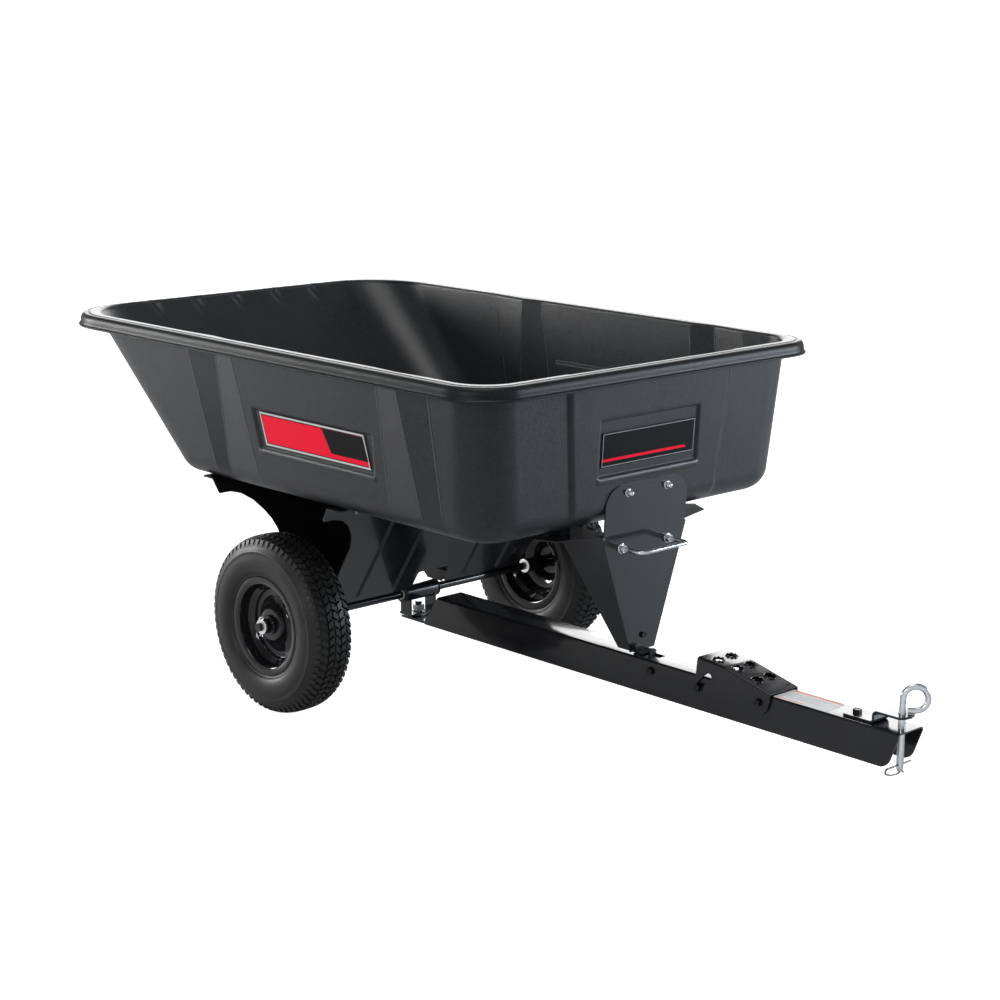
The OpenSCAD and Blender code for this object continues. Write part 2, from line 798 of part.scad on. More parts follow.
// Face of the stand, bolted to the tub's front wall and narrowing downwards.
module front_stand() {
  color(steel_black) difference() {
    union() {
      on_front_wall() wall_slab(panel_out + 0.2, panel_out + 0.2 + sheet) upper_plate_outline();
      translate([face_x, 0, 0]) rotate([90, 0, 90]) linear_extrude(sheet) polygon([
        [-plate_half, bend_z + 2], [-plate_half, bend_z], [-112, 435], [-low_half, face_low],
        [low_half, face_low], [112, 435], [plate_half, bend_z], [plate_half, bend_z + 2]
      ]);
      both_sides() stand_wing();
    }
    for (s = [-1, 1]) {
      at_stand_bolt(s) cylinder(r = 4.4, h = 60, center = true);
      translate([face_x - 5, s * handle_y, handle_z]) along_x() cylinder(r = handle_r + 0.4, h = 20);
    }
    translate([face_x - 5, 0, striker_bolt_z]) along_x() cylinder(r = 4.4, h = 20);
  }
}

// Feet of the stand, bolted to the bosses under the tub's floor.
module stand_flanges() {
  color(steel_black) both_sides() difference() {
    translate([0, 0, flange_z - sheet]) linear_extrude(sheet)
      polygon([[face_x - 1, 118], [690, 225], [642, 248], [592, 190], [592, 100], [face_x - 1, 100]]);
    translate([flange_bolt_x, flange_bolt_y, flange_z - 10]) cylinder(r = 4.4, h = 20);
  }
}

module flange_bolts() {
  color(zinc) both_sides() translate([flange_bolt_x, flange_bolt_y, floor_z]) {
    translate([0, 0, wall_t]) cylinder(r = 9.5, h = 4);
    translate([0, 0, -boss_h - sheet - 12]) cylinder(r = 4, h = boss_h + sheet + 13 + wall_t);
  }
}

module flange_nuts() {
  color(zinc) both_sides() translate([flange_bolt_x, flange_bolt_y, flange_z - sheet - 7]) nut(4, 13, 7);
}

module stand_bolts() {
  inner = -panel_out - wall_t;
  color(zinc) for (s = [-1, 1])
    at_stand_bolt(s) {
      translate([0, 0, inner - 3]) cylinder(r = 9.5, h = 3);
      translate([0, 0, inner - 1]) cylinder(r = 4, h = 12 - inner);
    }
}

module stand_acorn_nuts() {
  color(zinc) for (s = [-1, 1])
    at_stand_bolt(s) translate([0, 0, sheet + 0.25]) difference() {
      union() {
        cylinder(r = 9, h = 1.5);
        hex(13, 8);
        translate([0, 0, 8]) sphere(r = 6);
      }
      translate([0, 0, -1]) cylinder(r = 4, h = 9.8);
    }
}

// Angle behind the stand's lower end, whose foot the latch holds down.
module latch_striker() {
  color(zinc) difference() {
    union() {
      translate([face_x - sheet, -22, beam_top + 1]) cube([sheet, 44, 58]);
      translate([face_x - sheet, -22, beam_top + 1]) cube([striker_front - face_x + sheet, 44, sheet]);
    }
    translate([face_x - 10, 0, striker_bolt_z]) along_x() cylinder(r = 4.4, h = 30);
  }
}

module striker_bolt() {
  color(steel_black) translate([face_x + sheet, 0, striker_bolt_z]) rotate([0, -90, 0]) bolt(4, 18, 13, 5.5);
}

module striker_nut() {
  color(steel_black) translate([face_x - sheet - 7, 0, striker_bolt_z]) along_x() nut(4, 13, 7);
}

// Round-bar handle through the stand's face, used to tip the tub.
module lift_handle() {
  bend = 13;
  reach = 62;
  color(zinc) translate([face_x, 0, handle_z]) {
    both_sides() {
      translate([-20, handle_y, 0]) along_x() cylinder(r = handle_r, h = 20 + reach - bend);
      translate([reach - bend, handle_y - bend, 0])
        rotate_extrude(angle = 90) translate([bend, 0]) circle(r = handle_r);
    }
    translate([reach, bend - handle_y, 0]) along_y() cylinder(r = handle_r, h = 2 * (handle_y - bend));
  }
}

module handle_nuts() {
  color(zinc) for (s = [-1, 1], x = [face_x - 9.6, face_x + sheet + 1.6])
    translate([x, s * handle_y, handle_z]) along_x() nut(handle_r, 16, 8);
}

module handle_washers() {
  color(zinc) for (s = [-1, 1], x = [face_x - 1.6, face_x + sheet])
    translate([x, s * handle_y, handle_z]) along_x() washer(handle_r, 11, 1.6);
}

tongue_beam();
kingpin_plate();
kingpin_bolt();
kingpin_nut();
thrust_washer();
cross_bolt();
cross_nut();
pedal_pivot_bolt();
pedal_pivot_nut();
pivot_spacer();
spring_stop();
return_spring();
hitch_strap();
strap_bolt();
strap_nut();
tongue_label();
hitch_pin();
hitch_clip();
pedal();
latch_bar();
latch_hook();
cam_bolt();
cam_nut();
swivel_bracket();
axle_sleeve();
axle();
axle_washers();
cotter_pins();
tub();
saddle_front_panel();
saddle_rear_panel();
saddle_tabs();
saddle_bushings();
saddle_bolts();
saddle_nuts();
front_stand();
stand_flanges();
flange_bolts();
flange_nuts();
stand_bolts();
stand_acorn_nuts();
latch_striker();
striker_bolt();
striker_nut();
lift_handle();
handle_nuts();
handle_washers();
side_decals();
front_decal();
mirror([0, 1, 0]) tyre();  // tyre_right
mirror([0, 1, 0]) rim();  // rim_right
mirror([0, 1, 0]) wheel_bushings();  // wheel_bushings_right
mirror([0, 1, 0]) valve();  // valve_right
tyre();  // tyre_left
rim();  // rim_left
wheel_bushings();  // wheel_bushings_left
valve();  // valve_left
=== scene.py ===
"""Tow-behind dump cart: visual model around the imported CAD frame.

Shapes are worked out in millimetres in the CAD frame and turned into metres when a mesh is made.
"""
import json
import math

import bmesh
import bpy
from mathutils import Matrix, Vector

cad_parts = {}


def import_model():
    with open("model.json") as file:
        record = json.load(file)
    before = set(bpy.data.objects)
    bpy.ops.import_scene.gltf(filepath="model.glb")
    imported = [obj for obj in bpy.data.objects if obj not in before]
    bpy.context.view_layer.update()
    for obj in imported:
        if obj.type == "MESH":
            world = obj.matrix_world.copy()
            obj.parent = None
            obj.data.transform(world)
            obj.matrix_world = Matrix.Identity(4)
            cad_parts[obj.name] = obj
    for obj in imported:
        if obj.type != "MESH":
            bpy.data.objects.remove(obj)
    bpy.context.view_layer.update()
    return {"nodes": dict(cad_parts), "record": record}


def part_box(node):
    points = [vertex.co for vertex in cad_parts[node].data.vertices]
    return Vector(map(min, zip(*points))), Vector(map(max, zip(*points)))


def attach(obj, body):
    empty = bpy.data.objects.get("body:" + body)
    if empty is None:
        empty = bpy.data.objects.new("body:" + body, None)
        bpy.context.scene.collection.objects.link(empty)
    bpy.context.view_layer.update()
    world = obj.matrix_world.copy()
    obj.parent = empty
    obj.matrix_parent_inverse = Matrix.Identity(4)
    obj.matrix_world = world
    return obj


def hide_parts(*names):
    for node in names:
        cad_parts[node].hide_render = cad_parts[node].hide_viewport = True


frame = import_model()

MM = 0.001
TAU = 2 * math.pi


# ---- Small helpers --------------------------------------------------------------------------

def box_mm(node):
    lo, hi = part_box(node)
    return lo / MM, hi / MM, (lo + hi) / (2 * MM)


def lerp(a, b, t):
    return a + (b - a) * t


def smooth(a, b, x):
    t = min(1.0, max(0.0, (x - a) / (b - a)))
    return t * t * (3 - 2 * t)


def at(x, y, z):
    return Matrix.Translation((x, y, z))


def turn(axis, degrees):
    return Matrix.Rotation(math.radians(degrees), 4, axis)


UP = Matrix.Identity(4)
TO_X = turn("Y", 90)
TO_Y = turn("X", -90)
TO_MINUS_Y = turn("X", 90)
TO_MINUS_X = turn("Y", -90)
DOWN = turn("X", 180)
# Outlines given as (Y, Z) and drawn along X, or as (X, Z) and drawn against Y.
YZ_TO_X = Matrix(((0, 0, 1, 0), (1, 0, 0, 0), (0, 1, 0, 0), (0, 0, 0, 1)))
XZ_TO_Y = Matrix(((1, 0, 0, 0), (0, 0, -1, 0), (0, 1, 0, 0), (0, 0, 0, 1)))


def to_mesh(name, bm):
    """Mesh in metres from a bmesh in millimetres, which is freed."""
    me = bpy.data.meshes.new(name)
    bm.to_mesh(me)
    bm.free()
    me.transform(Matrix.Scale(MM, 4))
    return me


def to_scene(name, data):
    o = bpy.data.objects.new(name, data)
    bpy.context.scene.collection.objects.link(o)
    return o


def piece(name, bm, material, body, nodes=(), bevel=0.0, angle=32, mats=None):
    """Turns a bmesh in millimetres into a piece on a body."""
    bmesh.ops.recalc_face_normals(bm, faces=bm.faces)
    me = to_mesh(name, bm)
    for m in mats or [material]:
        me.materials.append(m)
    me.polygons.foreach_set("use_smooth", [True] * len(me.polygons))
    me.set_sharp_from_angle(angle=math.radians(angle))
    o = to_scene(name, me)
    if bevel:
        b = o.modifiers.new("edges", "BEVEL")
        b.width = bevel * MM
        b.segments = 2
        b.limit_method = "ANGLE"
        b.angle_limit = math.radians(angle)
        b.harden_normals = True
    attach(o, body)
    if nodes:
        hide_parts(*nodes)
    return o


def bridge(bm, a, b):
    """Closed band of faces between two rings of the same count."""
    n = len(a)
    return [bm.faces.new((a[i], a[(i + 1) % n], b[(i + 1) % n], b[i])) for i in range(n)]


def lathe(bm, profile, m, n, closed=False):
    """Revolves (radius, height) points about local Z. A closed profile makes a ring."""
    rings = []
    for r, z in profile:
        if r < 1e-6:
            rings.append([bm.verts.new(m @ Vector((0, 0, z)))])
        else:
            rings.append([bm.verts.new(m @ Vector((r * math.cos(TAU * i / n), r * math.sin(TAU * i / n), z)))
                          for i in range(n)])
    pairs = list(zip(rings, rings[1:])) + ([(rings[-1], rings[0])] if closed else [])
    for a, b in pairs:
        if len(a) == len(b):
            if len(a) > 1:
                bridge(bm, a, b)
            continue
        for i in range(n):
            j = (i + 1) % n
            bm.faces.new((a[0], b[i], b[j]) if len(a) == 1 else (a[i], a[j], b[0]))
    if not closed:
        for ring in (rings[0], rings[-1]):
            if len(ring) > 1:
                bm.faces.new(ring)


def prism(bm, outline, m, h, material_index=0):
    """Extrudes a flat outline along local Z."""
    low, top = ([bm.verts.new(m @ Vector((x, y, z))) for x, y in outline] for z in (0, h))
    for f in [bm.faces.new(low), bm.faces.new(top)] + bridge(bm, low, top):
        f.material_index = material_index


def sweep(bm, path, r, n=16):
    """Round rod along a path, with a frame that doesn't twist."""
    pts = [Vector(p) for p in path]
    last = len(pts) - 1
    tangents = [(pts[min(i + 1, last)] - pts[max(i - 1, 0)]).normalized() for i in range(last + 1)]
    side = tangents[0].orthogonal().normalized()
    rings = []
    for i, (p, along) in enumerate(zip(pts, tangents)):
        side = (side - along * side.dot(along)).normalized()
        other = along.cross(side)
        radius = r[i] if isinstance(r, (list, tuple)) else r
        spokes = [side * math.cos(TAU * k / n) + other * math.sin(TAU * k / n) for k in range(n)]
        rings.append([bm.verts.new(p + spoke * radius) for spoke in spokes])
    for a, b in zip(rings, rings[1:]):
        bridge(bm, a, b)
    bm.faces.new(rings[0])
    bm.faces.new(rings[-1])


def arc(centre, ex, ey, r, a0, a1, n):
    """Points on an arc in the plane of two directions, from angle a0 to a1 in degrees."""
    c, ex, ey = Vector(centre), Vector(ex), Vector(ey)
    out = []
    for i in range(n + 1):
        a = math.radians(lerp(a0, a1, i / n))
        out.append(c + ex * (r * math.cos(a)) + ey * (r * math.sin(a)))
    return out


def turned(v, angle):
    """Flat vector turned by an angle in radians."""
    c, s = math.cos(angle), math.sin(angle)
    return Vector((v.x * c - v.y * s, v.x * s + v.y * c))


def rounded(points, radii, n=6):
    """Polygon with its corners rounded; radii may be one number or one per corner."""
    count = len(points)
    out = []
    for i in range(count):
        p = Vector(points[i])
        r = radii[i] if isinstance(radii, (list, tuple)) else radii
        a, b = Vector(points[i - 1]), Vector(points[(i + 1) % count])
        if r <= 0:
            out.append(p)
            continue
        u, v = (a - p).normalized(), (b - p).normalized()
        half = math.acos(max(-1, min(1, u.dot(v)))) / 2
        if math.pi / 2 - half < 0.02:
            out.append(p)
            continue
        reach = min(r / math.tan(half), (a - p).length * 0.49, (b - p).length * 0.49)
        s, e = p + u * reach, p + v * reach
        centre = p + (u + v).normalized() * (reach / math.cos(half))
        start, end = s - centre, e - centre
        turn_by = math.atan2(start.x * end.y - start.y * end.x, start.dot(end))
        out += [centre + turned(start, turn_by * k / n) for k in range(n + 1)]
    return out


def drum(bm, m, r, h, n=48):
    lathe(bm, [(r, 0), (r, h)], m, n)


def cut(o, draw):
    """Cuts the solids that draw(bmesh) makes, in millimetres, out of a piece for good."""
    bm = bmesh.new()
    draw(bm)
    bmesh.ops.recalc_face_normals(bm, faces=bm.faces)
    me = to_mesh("cutter", bm)
    tool = to_scene("cutter", me)
    shown = [x for x in o.modifiers if x.show_viewport]
    for x in shown:
        x.show_viewport = False
    mod = o.modifiers.new("cut", "BOOLEAN")
    mod.operation = "DIFFERENCE"
    mod.solver = "EXACT"
    mod.use_self = True
    mod.object = tool
    bpy.context.view_layer.update()
    new = bpy.data.meshes.new_from_object(o.evaluated_get(bpy.context.evaluated_depsgraph_get()))
    o.modifiers.remove(mod)
    for x in shown:
        x.show_viewport = True
    o.data = new
    new.set_sharp_from_angle(angle=math.radians(32))
    bpy.data.objects.remove(tool)
    bpy.data.meshes.remove(me)


# ---- Materials ------------------------------------------------------------------------------

class Nodes:
    """Short names for building a node material."""

    def __init__(self, name):
        self.mat = bpy.data.materials.new(name)
        self.mat.use_nodes = True
        self.t = self.mat.node_tree
        self.t.nodes.clear()
        self.out = self.new("OutputMaterial")
        self.bsdf = self.new("BsdfPrincipled")
        self.link(self.bsdf.outputs[0], self.out.inputs[0])
        self.coord = self.new("TexCoord").outputs["Object"]

    def link(self, a, b):
        self.t.links.new(a, b)

    def feed(self, n, **values):
        """Links outputs to a node's inputs, or sets numbers and colours; _ stands for a space."""
        for k, v in values.items():
            socket = n.inputs[k.replace("_", " ")]
            if hasattr(v, "is_output"):
                self.link(v, socket)
            else:
                socket.default_value = (*v, 1.0) if socket.type == "RGBA" else v
        return n

    def new(self, kind, **values):
        return self.feed(self.t.nodes.new("ShaderNode" + kind), **values)

    def set(self, **values):
        self.feed(self.bsdf, **values)

    def scaled(self, sx, sy, sz):
        return self.new("Mapping", Scale=(sx, sy, sz), Vector=self.coord).outputs[0]

    def noise(self, scale, detail=4.0, rough=0.55, vector=None, distortion=0.0):
        n = self.new("TexNoise", Scale=scale, Detail=detail, Roughness=rough, Distortion=distortion,
                     Vector=vector or self.coord)
        return n.outputs["Fac"]

    def cells(self, scale):
        return self.new("TexVoronoi", Scale=scale, Vector=self.coord).outputs["Distance"]

    def remap(self, value, a, b, c=0.0, d=1.0):
        return self.new("MapRange", From_Min=a, From_Max=b, To_Min=c, To_Max=d, Value=value).outputs[0]

    def mix(self, fac, a, b):
        n = self.new("Mix")
        n.data_type = "RGBA"
        return self.feed(n, Factor=fac, A=a, B=b).outputs["Result"]

    def math(self, op, a, b=0.0):
        n = self.new("Math")
        n.operation = op
        for socket, v in zip(n.inputs, (a, b)):
            if hasattr(v, "is_output"):
                self.link(v, socket)
            else:
                socket.default_value = v
        return n.outputs[0]

    def edges(self, low, high):
        """1 on convex edges, 0 elsewhere."""
        return self.remap(self.new("NewGeometry").outputs["Pointiness"], low, high)

    def facing(self):
        """0 where the surface faces the eye, 1 where it turns away."""
        return self.new("LayerWeight", Blend=0.5).outputs["Facing"]

    def axis(self, which):
        return self.new("SeparateXYZ", Vector=self.coord).outputs[which]

    def bump(self, *layers):
        """Stacks (height, strength, distance in metres) bumps."""
        normal = None
        for height, strength, distance in layers:
            n = self.new("Bump", Strength=strength, Distance=distance, Height=height)
            if normal is not None:
                self.link(normal, n.inputs["Normal"])
            normal = n.outputs[0]
        self.link(normal, self.bsdf.inputs["Normal"])


# Height range of the side folds, and each fold line's X at the top and at the foot, in mm.
PILASTER_TOP, PILASTER_LOW = 790.0, 525.0
GROOVE_LINES = ((-232, -162), (-141, -122), (-72, -4))
RIDGE_LINES = ((415, 435), (487, 544), (574, 598))


def fold_lines(m):
    """1 along the crisp creases of the side folds, 0 elsewhere."""
    x, z = m.axis("X"), m.axis("Z")
    total = None
    for top, low in GROOVE_LINES + RIDGE_LINES:
        slope = (top - low) / (PILASTER_TOP - PILASTER_LOW)
        start = (low - slope * PILASTER_LOW) * MM
        off = m.math("ADD", m.math("ADD", x, m.math("MULTIPLY", z, -slope)), -start)
        line = m.remap(m.math("ABSOLUTE", off), 0.0004, 0.0028, 1.0, 0.0)
        total = line if total is None else m.math("MAXIMUM", total, line)
    split = m.new("SeparateXYZ")
    m.link(m.new("NewGeometry").outputs["True Normal"], split.inputs[0])
    sideways = m.remap(m.math("ABSOLUTE", split.outputs["Y"]), 0.6, 0.8)
    height = m.math("MULTIPLY", m.remap(z, 0.54, 0.58), m.remap(z, 0.79, 0.82, 1.0, 0.0))
    return m.math("MULTIPLY", total, m.math("MULTIPLY", sideways, height))


def tub_material(name, ior, shade):
    m = Nodes(name)
    blotch = m.noise(2.6, 5.0, 0.6)
    streak = m.noise(9.0, 6.0, 0.7, m.scaled(1.0, 1.0, 0.16), 0.4)
    grain = m.noise(900.0, 3.0, 0.6)
    pebble = m.cells(520.0)
    # the colour is made lighter along convex edges
    convex_edge_lightening = m.math("MULTIPLY", m.edges(0.508, 0.56), 0.35)
    base = m.mix(m.remap(blotch, 0.3, 0.7), (0.015, 0.0163, 0.018), (0.023, 0.0248, 0.027))
    mottle = m.remap(m.noise(110.0, 6.0, 0.8), 0.38, 0.7, 0.0, 0.8)
    base = m.mix(mottle, base, (0.036, 0.0385, 0.042))
    scuff = m.math("MULTIPLY", m.remap(streak, 0.58, 0.78), 0.35)
    base = m.mix(scuff, base, (0.046, 0.049, 0.053))
    base = m.mix(convex_edge_lightening, base, (0.06, 0.063, 0.068))
    folds = fold_lines(m)
    # painted highlight: the colour is made lighter along the fold creases
    base = m.mix(m.math("MULTIPLY", folds, 0.5), base, (0.075, 0.079, 0.085))
    # painted shade: shade darkens the whole colour towards near black; the lip's copy uses it
    base = m.mix(shade, base, (0.006, 0.0064, 0.007))
    uneven = m.math("ADD", m.math("MULTIPLY", blotch, 0.6), m.math("MULTIPLY", grain, 0.4))
    m.set(Base_Color=base, Roughness=m.remap(uneven, 0.3, 0.7, 0.24, 0.36), IOR=ior)
    m.bump((blotch, 0.2, 0.004), (folds, 0.7, 0.0014), (m.noise(150.0, 5.0, 0.7), 0.22, 0.0016),
           (pebble, 0.3, 0.0007), (grain, 0.3, 0.0005))
    return m.mat


def steel_black_material(name, rough_a, rough_b):
    m = Nodes(name)
    peel = m.noise(420.0, 2.0, 0.5)
    dust = m.noise(14.0, 5.0, 0.65)
    chip = m.math("MULTIPLY", m.remap(m.noise(9.0, 3.0), 0.55, 0.7),
                  m.remap(m.noise(260.0, 4.0), 0.66, 0.72))
    base = m.mix(m.remap(dust, 0.35, 0.75), (0.0085, 0.009, 0.0105), (0.0135, 0.014, 0.0155))
    base = m.mix(m.math("MULTIPLY", chip, 0.5), base, (0.09, 0.09, 0.092))
    m.set(Base_Color=base, Roughness=m.remap(dust, 0.3, 0.8, rough_a, rough_b), IOR=1.5, Coat_Weight=0.4,
          Coat_Roughness=0.06)
    m.bump((peel, 0.06, 0.0005), (dust, 0.02, 0.001))
    return m.mat


def zinc_material(name, base_a, base_b, rough_a, rough_b, brush=(1.0, 1.0, 1.0), glow=0.0, fade=0.38):
    m = Nodes(name)
    cloud = m.noise(60.0, 4.0, 0.6)
    lines = m.noise(700.0, 2.0, 0.5, m.scaled(*brush))
    base = m.mix(m.remap(cloud, 0.35, 0.7), base_a, base_b)
    stain = m.math("MULTIPLY", m.remap(m.noise(240.0, 3.0), 0.6, 0.75), 0.35)
    base = m.mix(stain, base, (0.3, 0.29, 0.26))
    # painted light: the colour glows by glow where the surface faces the eye, fading out by fade as it turns
    # away, so the zinc reads brighter
    m.set(Base_Color=base, Metallic=1.0, Roughness=m.remap(cloud, 0.3, 0.7, rough_a, rough_b),
          Emission_Color=base, Emission_Strength=m.remap(m.facing(), 0.02, fade, glow, 0.0))
    m.bump((lines, 0.08, 0.0003), (cloud, 0.05, 0.0005))
    return m.mat


def rubber_material():
    m = Nodes("tyre_rubber")
    dust = m.noise(26.0, 6.0, 0.65)
    fine = m.noise(1400.0, 2.0, 0.5)
    g = m.remap(m.noise(5.0, 3.0), 0.35, 0.65)
    base = m.mix(m.remap(dust, 0.35, 0.75), (0.0075, 0.0078, 0.0082), (0.019, 0.019, 0.0188))
    base = m.mix(m.math("MULTIPLY", g, 0.2), base, (0.04, 0.039, 0.037))
    m.set(Base_Color=base, Roughness=m.remap(dust, 0.3, 0.8, 0.36, 0.56), IOR=1.5)
    m.bump((fine, 0.2, 0.0003), (dust, 0.08, 0.0012))
    return m.mat


def plain_material(name, a, b, rough_a, rough_b):
    m = Nodes(name)
    cloud = m.noise(40.0, 4.0, 0.6)
    m.set(Base_Color=m.mix(m.remap(cloud, 0.3, 0.7), a, b),
          Roughness=m.remap(cloud, 0.3, 0.7, rough_a, rough_b), IOR=1.5)
    m.bump((m.noise(600.0, 2.0), 0.08, 0.0003))
    return m.mat


def film_material(name, a, b, glow):
    """Printed film: low gloss, with a little light of its own so that the print stays clear."""
    m = Nodes(name)
    cloud = m.noise(18.0, 4.0, 0.6)
    base = m.mix(m.remap(cloud, 0.3, 0.7), a, b)
    m.set(Base_Color=base, Roughness=m.remap(cloud, 0.3, 0.7, 0.34, 0.44), IOR=1.22,
          Emission_Color=base, Emission_Strength=glow)
    m.bump((m.noise(500.0, 2.0), 0.03, 0.0003))
    return m.mat


TUB = tub_material("tub_polymer", 1.47, 0.0)
# darker copy of the tub's material for the outer lip: painted shade
TUB_LIP_SHADED = tub_material("tub_polymer_lip_shaded", 1.3, 0.35)
BLACK = steel_black_material("steel_powder_coat", 0.12, 0.24)
RIM_BLACK = steel_black_material("rim_gloss_coat", 0.05, 0.1)
# painted shade: near-black matt steel for parts that sit in shade
SHADE = plain_material("shaded_steel", (0.0035, 0.0037, 0.0042), (0.006, 0.0062, 0.007), 0.5, 0.62)
# zinc finishes; their glow is painted light, strongest on the hub zinc and the bright zinc
ZINC = zinc_material("zinc_plate", (0.4, 0.42, 0.45), (0.56, 0.57, 0.58), 0.2, 0.34, glow=0.15)
BRIGHT_ZINC_GLOWING = zinc_material("bright_zinc_glowing", (0.5, 0.52, 0.55), (0.66, 0.68, 0.7), 0.14, 0.24,
                       brush=(1.0, 1.0, 0.12), glow=0.55)
HUB_ZINC = zinc_material("hub_zinc", (0.6, 0.61, 0.62), (0.74, 0.75, 0.76), 0.2, 0.3, glow=0.7, fade=0.9)
WIRE = zinc_material("spring_wire", (0.12, 0.115, 0.105), (0.2, 0.19, 0.17), 0.22, 0.36)
BLACK_ZINC = zinc_material("black_zinc", (0.035, 0.036, 0.038), (0.06, 0.06, 0.06), 0.26, 0.4)
RUBBER = rubber_material()
NYLON = plain_material("nylon", (0.66, 0.64, 0.58), (0.74, 0.72, 0.66), 0.36, 0.5)
RED = film_material("print_red", (0.72, 0.002, 0.022), (0.78, 0.004, 0.03), 0.42)
INK = film_material("print_black", (0.003, 0.003, 0.0035), (0.006, 0.006, 0.007), 0.0)
WHITE = film_material("print_white", (0.6, 0.6, 0.6), (0.68, 0.68, 0.68), 0.16)
ORANGE = film_material("print_orange", (0.66, 0.13, 0.03), (0.72, 0.17, 0.05), 0.16)
GREY_INK = film_material("print_grey", (0.3, 0.31, 0.32), (0.36, 0.37, 0.38), 0.16)

SLOT_MATERIAL = {
    "tub_plastic": TUB, "black_steel": BLACK, "zinc_steel": ZINC, "tyre_rubber": RUBBER,
    "valve_rubber": RUBBER, "white_nylon": NYLON, "side_decal_film": RED, "front_decal_film": INK,
    "label_film": WHITE,
}


# ---- Tub ------------------------------------------------------------------------------------

TUB_LO, TUB_HI = box_mm("tub")[:2]
LIP_X0, LIP_X1, LIP_HALF, RIM_Z = TUB_LO.x, TUB_HI.x, TUB_HI.y, TUB_HI.z
SKIN = 5.0
FLOOR_Z = box_mm("saddle_bolts")[1].z - 4.0
LIP_H = 30.0
# Width of the lip, and how much narrower the rear lip is.
LIP_W, REAR_LIP_CUT = 45, 10
FRONT_CORNER, REAR_CORNER = 85, 160
# Radius between the walls and the floor.
FILLET = 50.0
TUB_FOOT = FLOOR_Z + FILLET
WALL_TOP = RIM_Z - 6.0


def ring(x0, x1, half, rf, rr):
    return dict(x0=x0, x1=x1, half=half, rf=rf, rr=rr)


def lip_ring(d):
    """The lip's outline at inset d, with its corners eased towards the walls' corners."""
    t = smooth(13, LIP_W, d)
    rf = lerp(111 - d, FRONT_CORNER, t)
    rr = lerp(177 - d, REAR_CORNER, t)
    return ring(LIP_X0 + d, LIP_X1 - d, LIP_HALF - d, rf, rr)


TOP_RING = ring(LIP_X0 + LIP_W - REAR_LIP_CUT, LIP_X1 - LIP_W, LIP_HALF - LIP_W, FRONT_CORNER, REAR_CORNER)
# The walls' outline where they meet the floor's fillet.
FOOT_RING = ring(-362, 714, 452.5, 90, 90)

CORNER_STEPS = 20
SIDE_STEPS = 380
END_STEPS = 270


def stations():
    """(part, t) all round: corners 0 to 3 with arc fraction, and the sides between them."""
    out = []
    for k in range(4):
        out += [("arc", k, i / CORNER_STEPS) for i in range(CORNER_STEPS)]
        steps = SIDE_STEPS if k in (0, 2) else END_STEPS
        out += [("side", k, i / steps) for i in range(steps)]
    return out


def corner(r, k):
    """Centre, radius of corner k: front left, rear left, rear right, front right."""
    front = k in (0, 3)
    rad = r["rf"] if front else r["rr"]
    x = r["x1"] - rad if front else r["x0"] + rad
    y = (r["half"] - rad) * (1 if k in (0, 1) else -1)
    return Vector((x, y)), rad


def ring_point(r, station):
    kind, k, t = station
    c, rad = corner(r, k)
    if kind == "arc":
        return c + outward(station) * rad
    c2, rad2 = corner(r, (k + 1) % 4)
    n = outward(station)
    return (c + n * rad).lerp(c2 + n * rad2, t)


def outward(station):
    kind, k, t = station
    a = math.radians(90 * (k + t) if kind == "arc" else 90 * (k + 1))
    return Vector((math.cos(a), math.sin(a)))


# Depth of the side folds, and of the recesses for the decals.
FOLD, POCKET = 7.0, 4.6


def slanted(z, top, low):
    """X of a fold line at height z."""
    return lerp(low, top, (z - PILASTER_LOW) / (PILASTER_TOP - PILASTER_LOW))


def tent(x, a, b, c):
    """0 at a and c, 1 at the fold b."""
    if x <= a or x >= c:
        return 0.0
    return (x - a) / (b - a) if x < b else (c - x) / (c - b)


def frame_mask(u, v, u0, u1, v0, v1, ramp):
    """1 inside a rectangle and 0 outside it, with soft edges as wide as ramp."""
    return (smooth(u0 - ramp / 2, u0 + ramp / 2, u) * (1 - smooth(u1 - ramp / 2, u1 + ramp / 2, u))
            * smooth(v0 - ramp / 2, v0 + ramp / 2, v) * (1 - smooth(v1 - ramp / 2, v1 + ramp / 2, v)))


def side_relief(x, z):
    """How far a side wall stands out: groove, ridge, and the recess and ledge for its decal."""
    fade = smooth(506, 548, z)
    groove = tent(x, *(slanted(z, top, low) for top, low in GROOVE_LINES))
    ridge = tent(x, *(slanted(z, top, low) for top, low in RIDGE_LINES))
    out = FOLD * (ridge - groove) * fade
    left = lerp(6, -14, (z - 606) / 94)
    pocket = frame_mask(x, z, left, 390, 608, 699, 5)
    ledge = frame_mask(x, z, left - 3, 393, 600, 606, 5)
    return out - POCKET * pocket + 2.0 * ledge


def front_relief(y, z):
    """How far the front wall stands out: raised middle, with its decal's recess and ledge."""
    half = slanted(z, 239, 212)
    raised = (smooth(-half - 8, -half + 5, y) * (1 - smooth(half - 5, half + 12, y))) * smooth(512, 545, z)
    pocket = frame_mask(y, z, -150, 150, 613, 736, 5)
    ledge = frame_mask(y, z, -153, 153, 603, 610, 5)
    return 7.0 * raised - POCKET * pocket + 2.4 * ledge


FLUTE_Y = (-244, -122, 0, 122, 244)


def rear_relief(y, z):
    """Shallow flutes down the rear slope, which notch the inner edge of the lip."""
    return 4.6 * sum(math.exp(-((y - c) / 12.0) ** 2) for c in FLUTE_Y) * smooth(796, 832, z)


def relief(station, x, y, z):
    kind, k, t = station
    if kind == "arc":
        return 0.0
    if k in (0, 2):
        out = side_relief(x, z)
    else:
        out = front_relief(y, z) if k == 3 else rear_relief(y, z)
    end = smooth(0.0, 0.02, t) * (1 - smooth(0.98, 1.0, t))
    return out * end


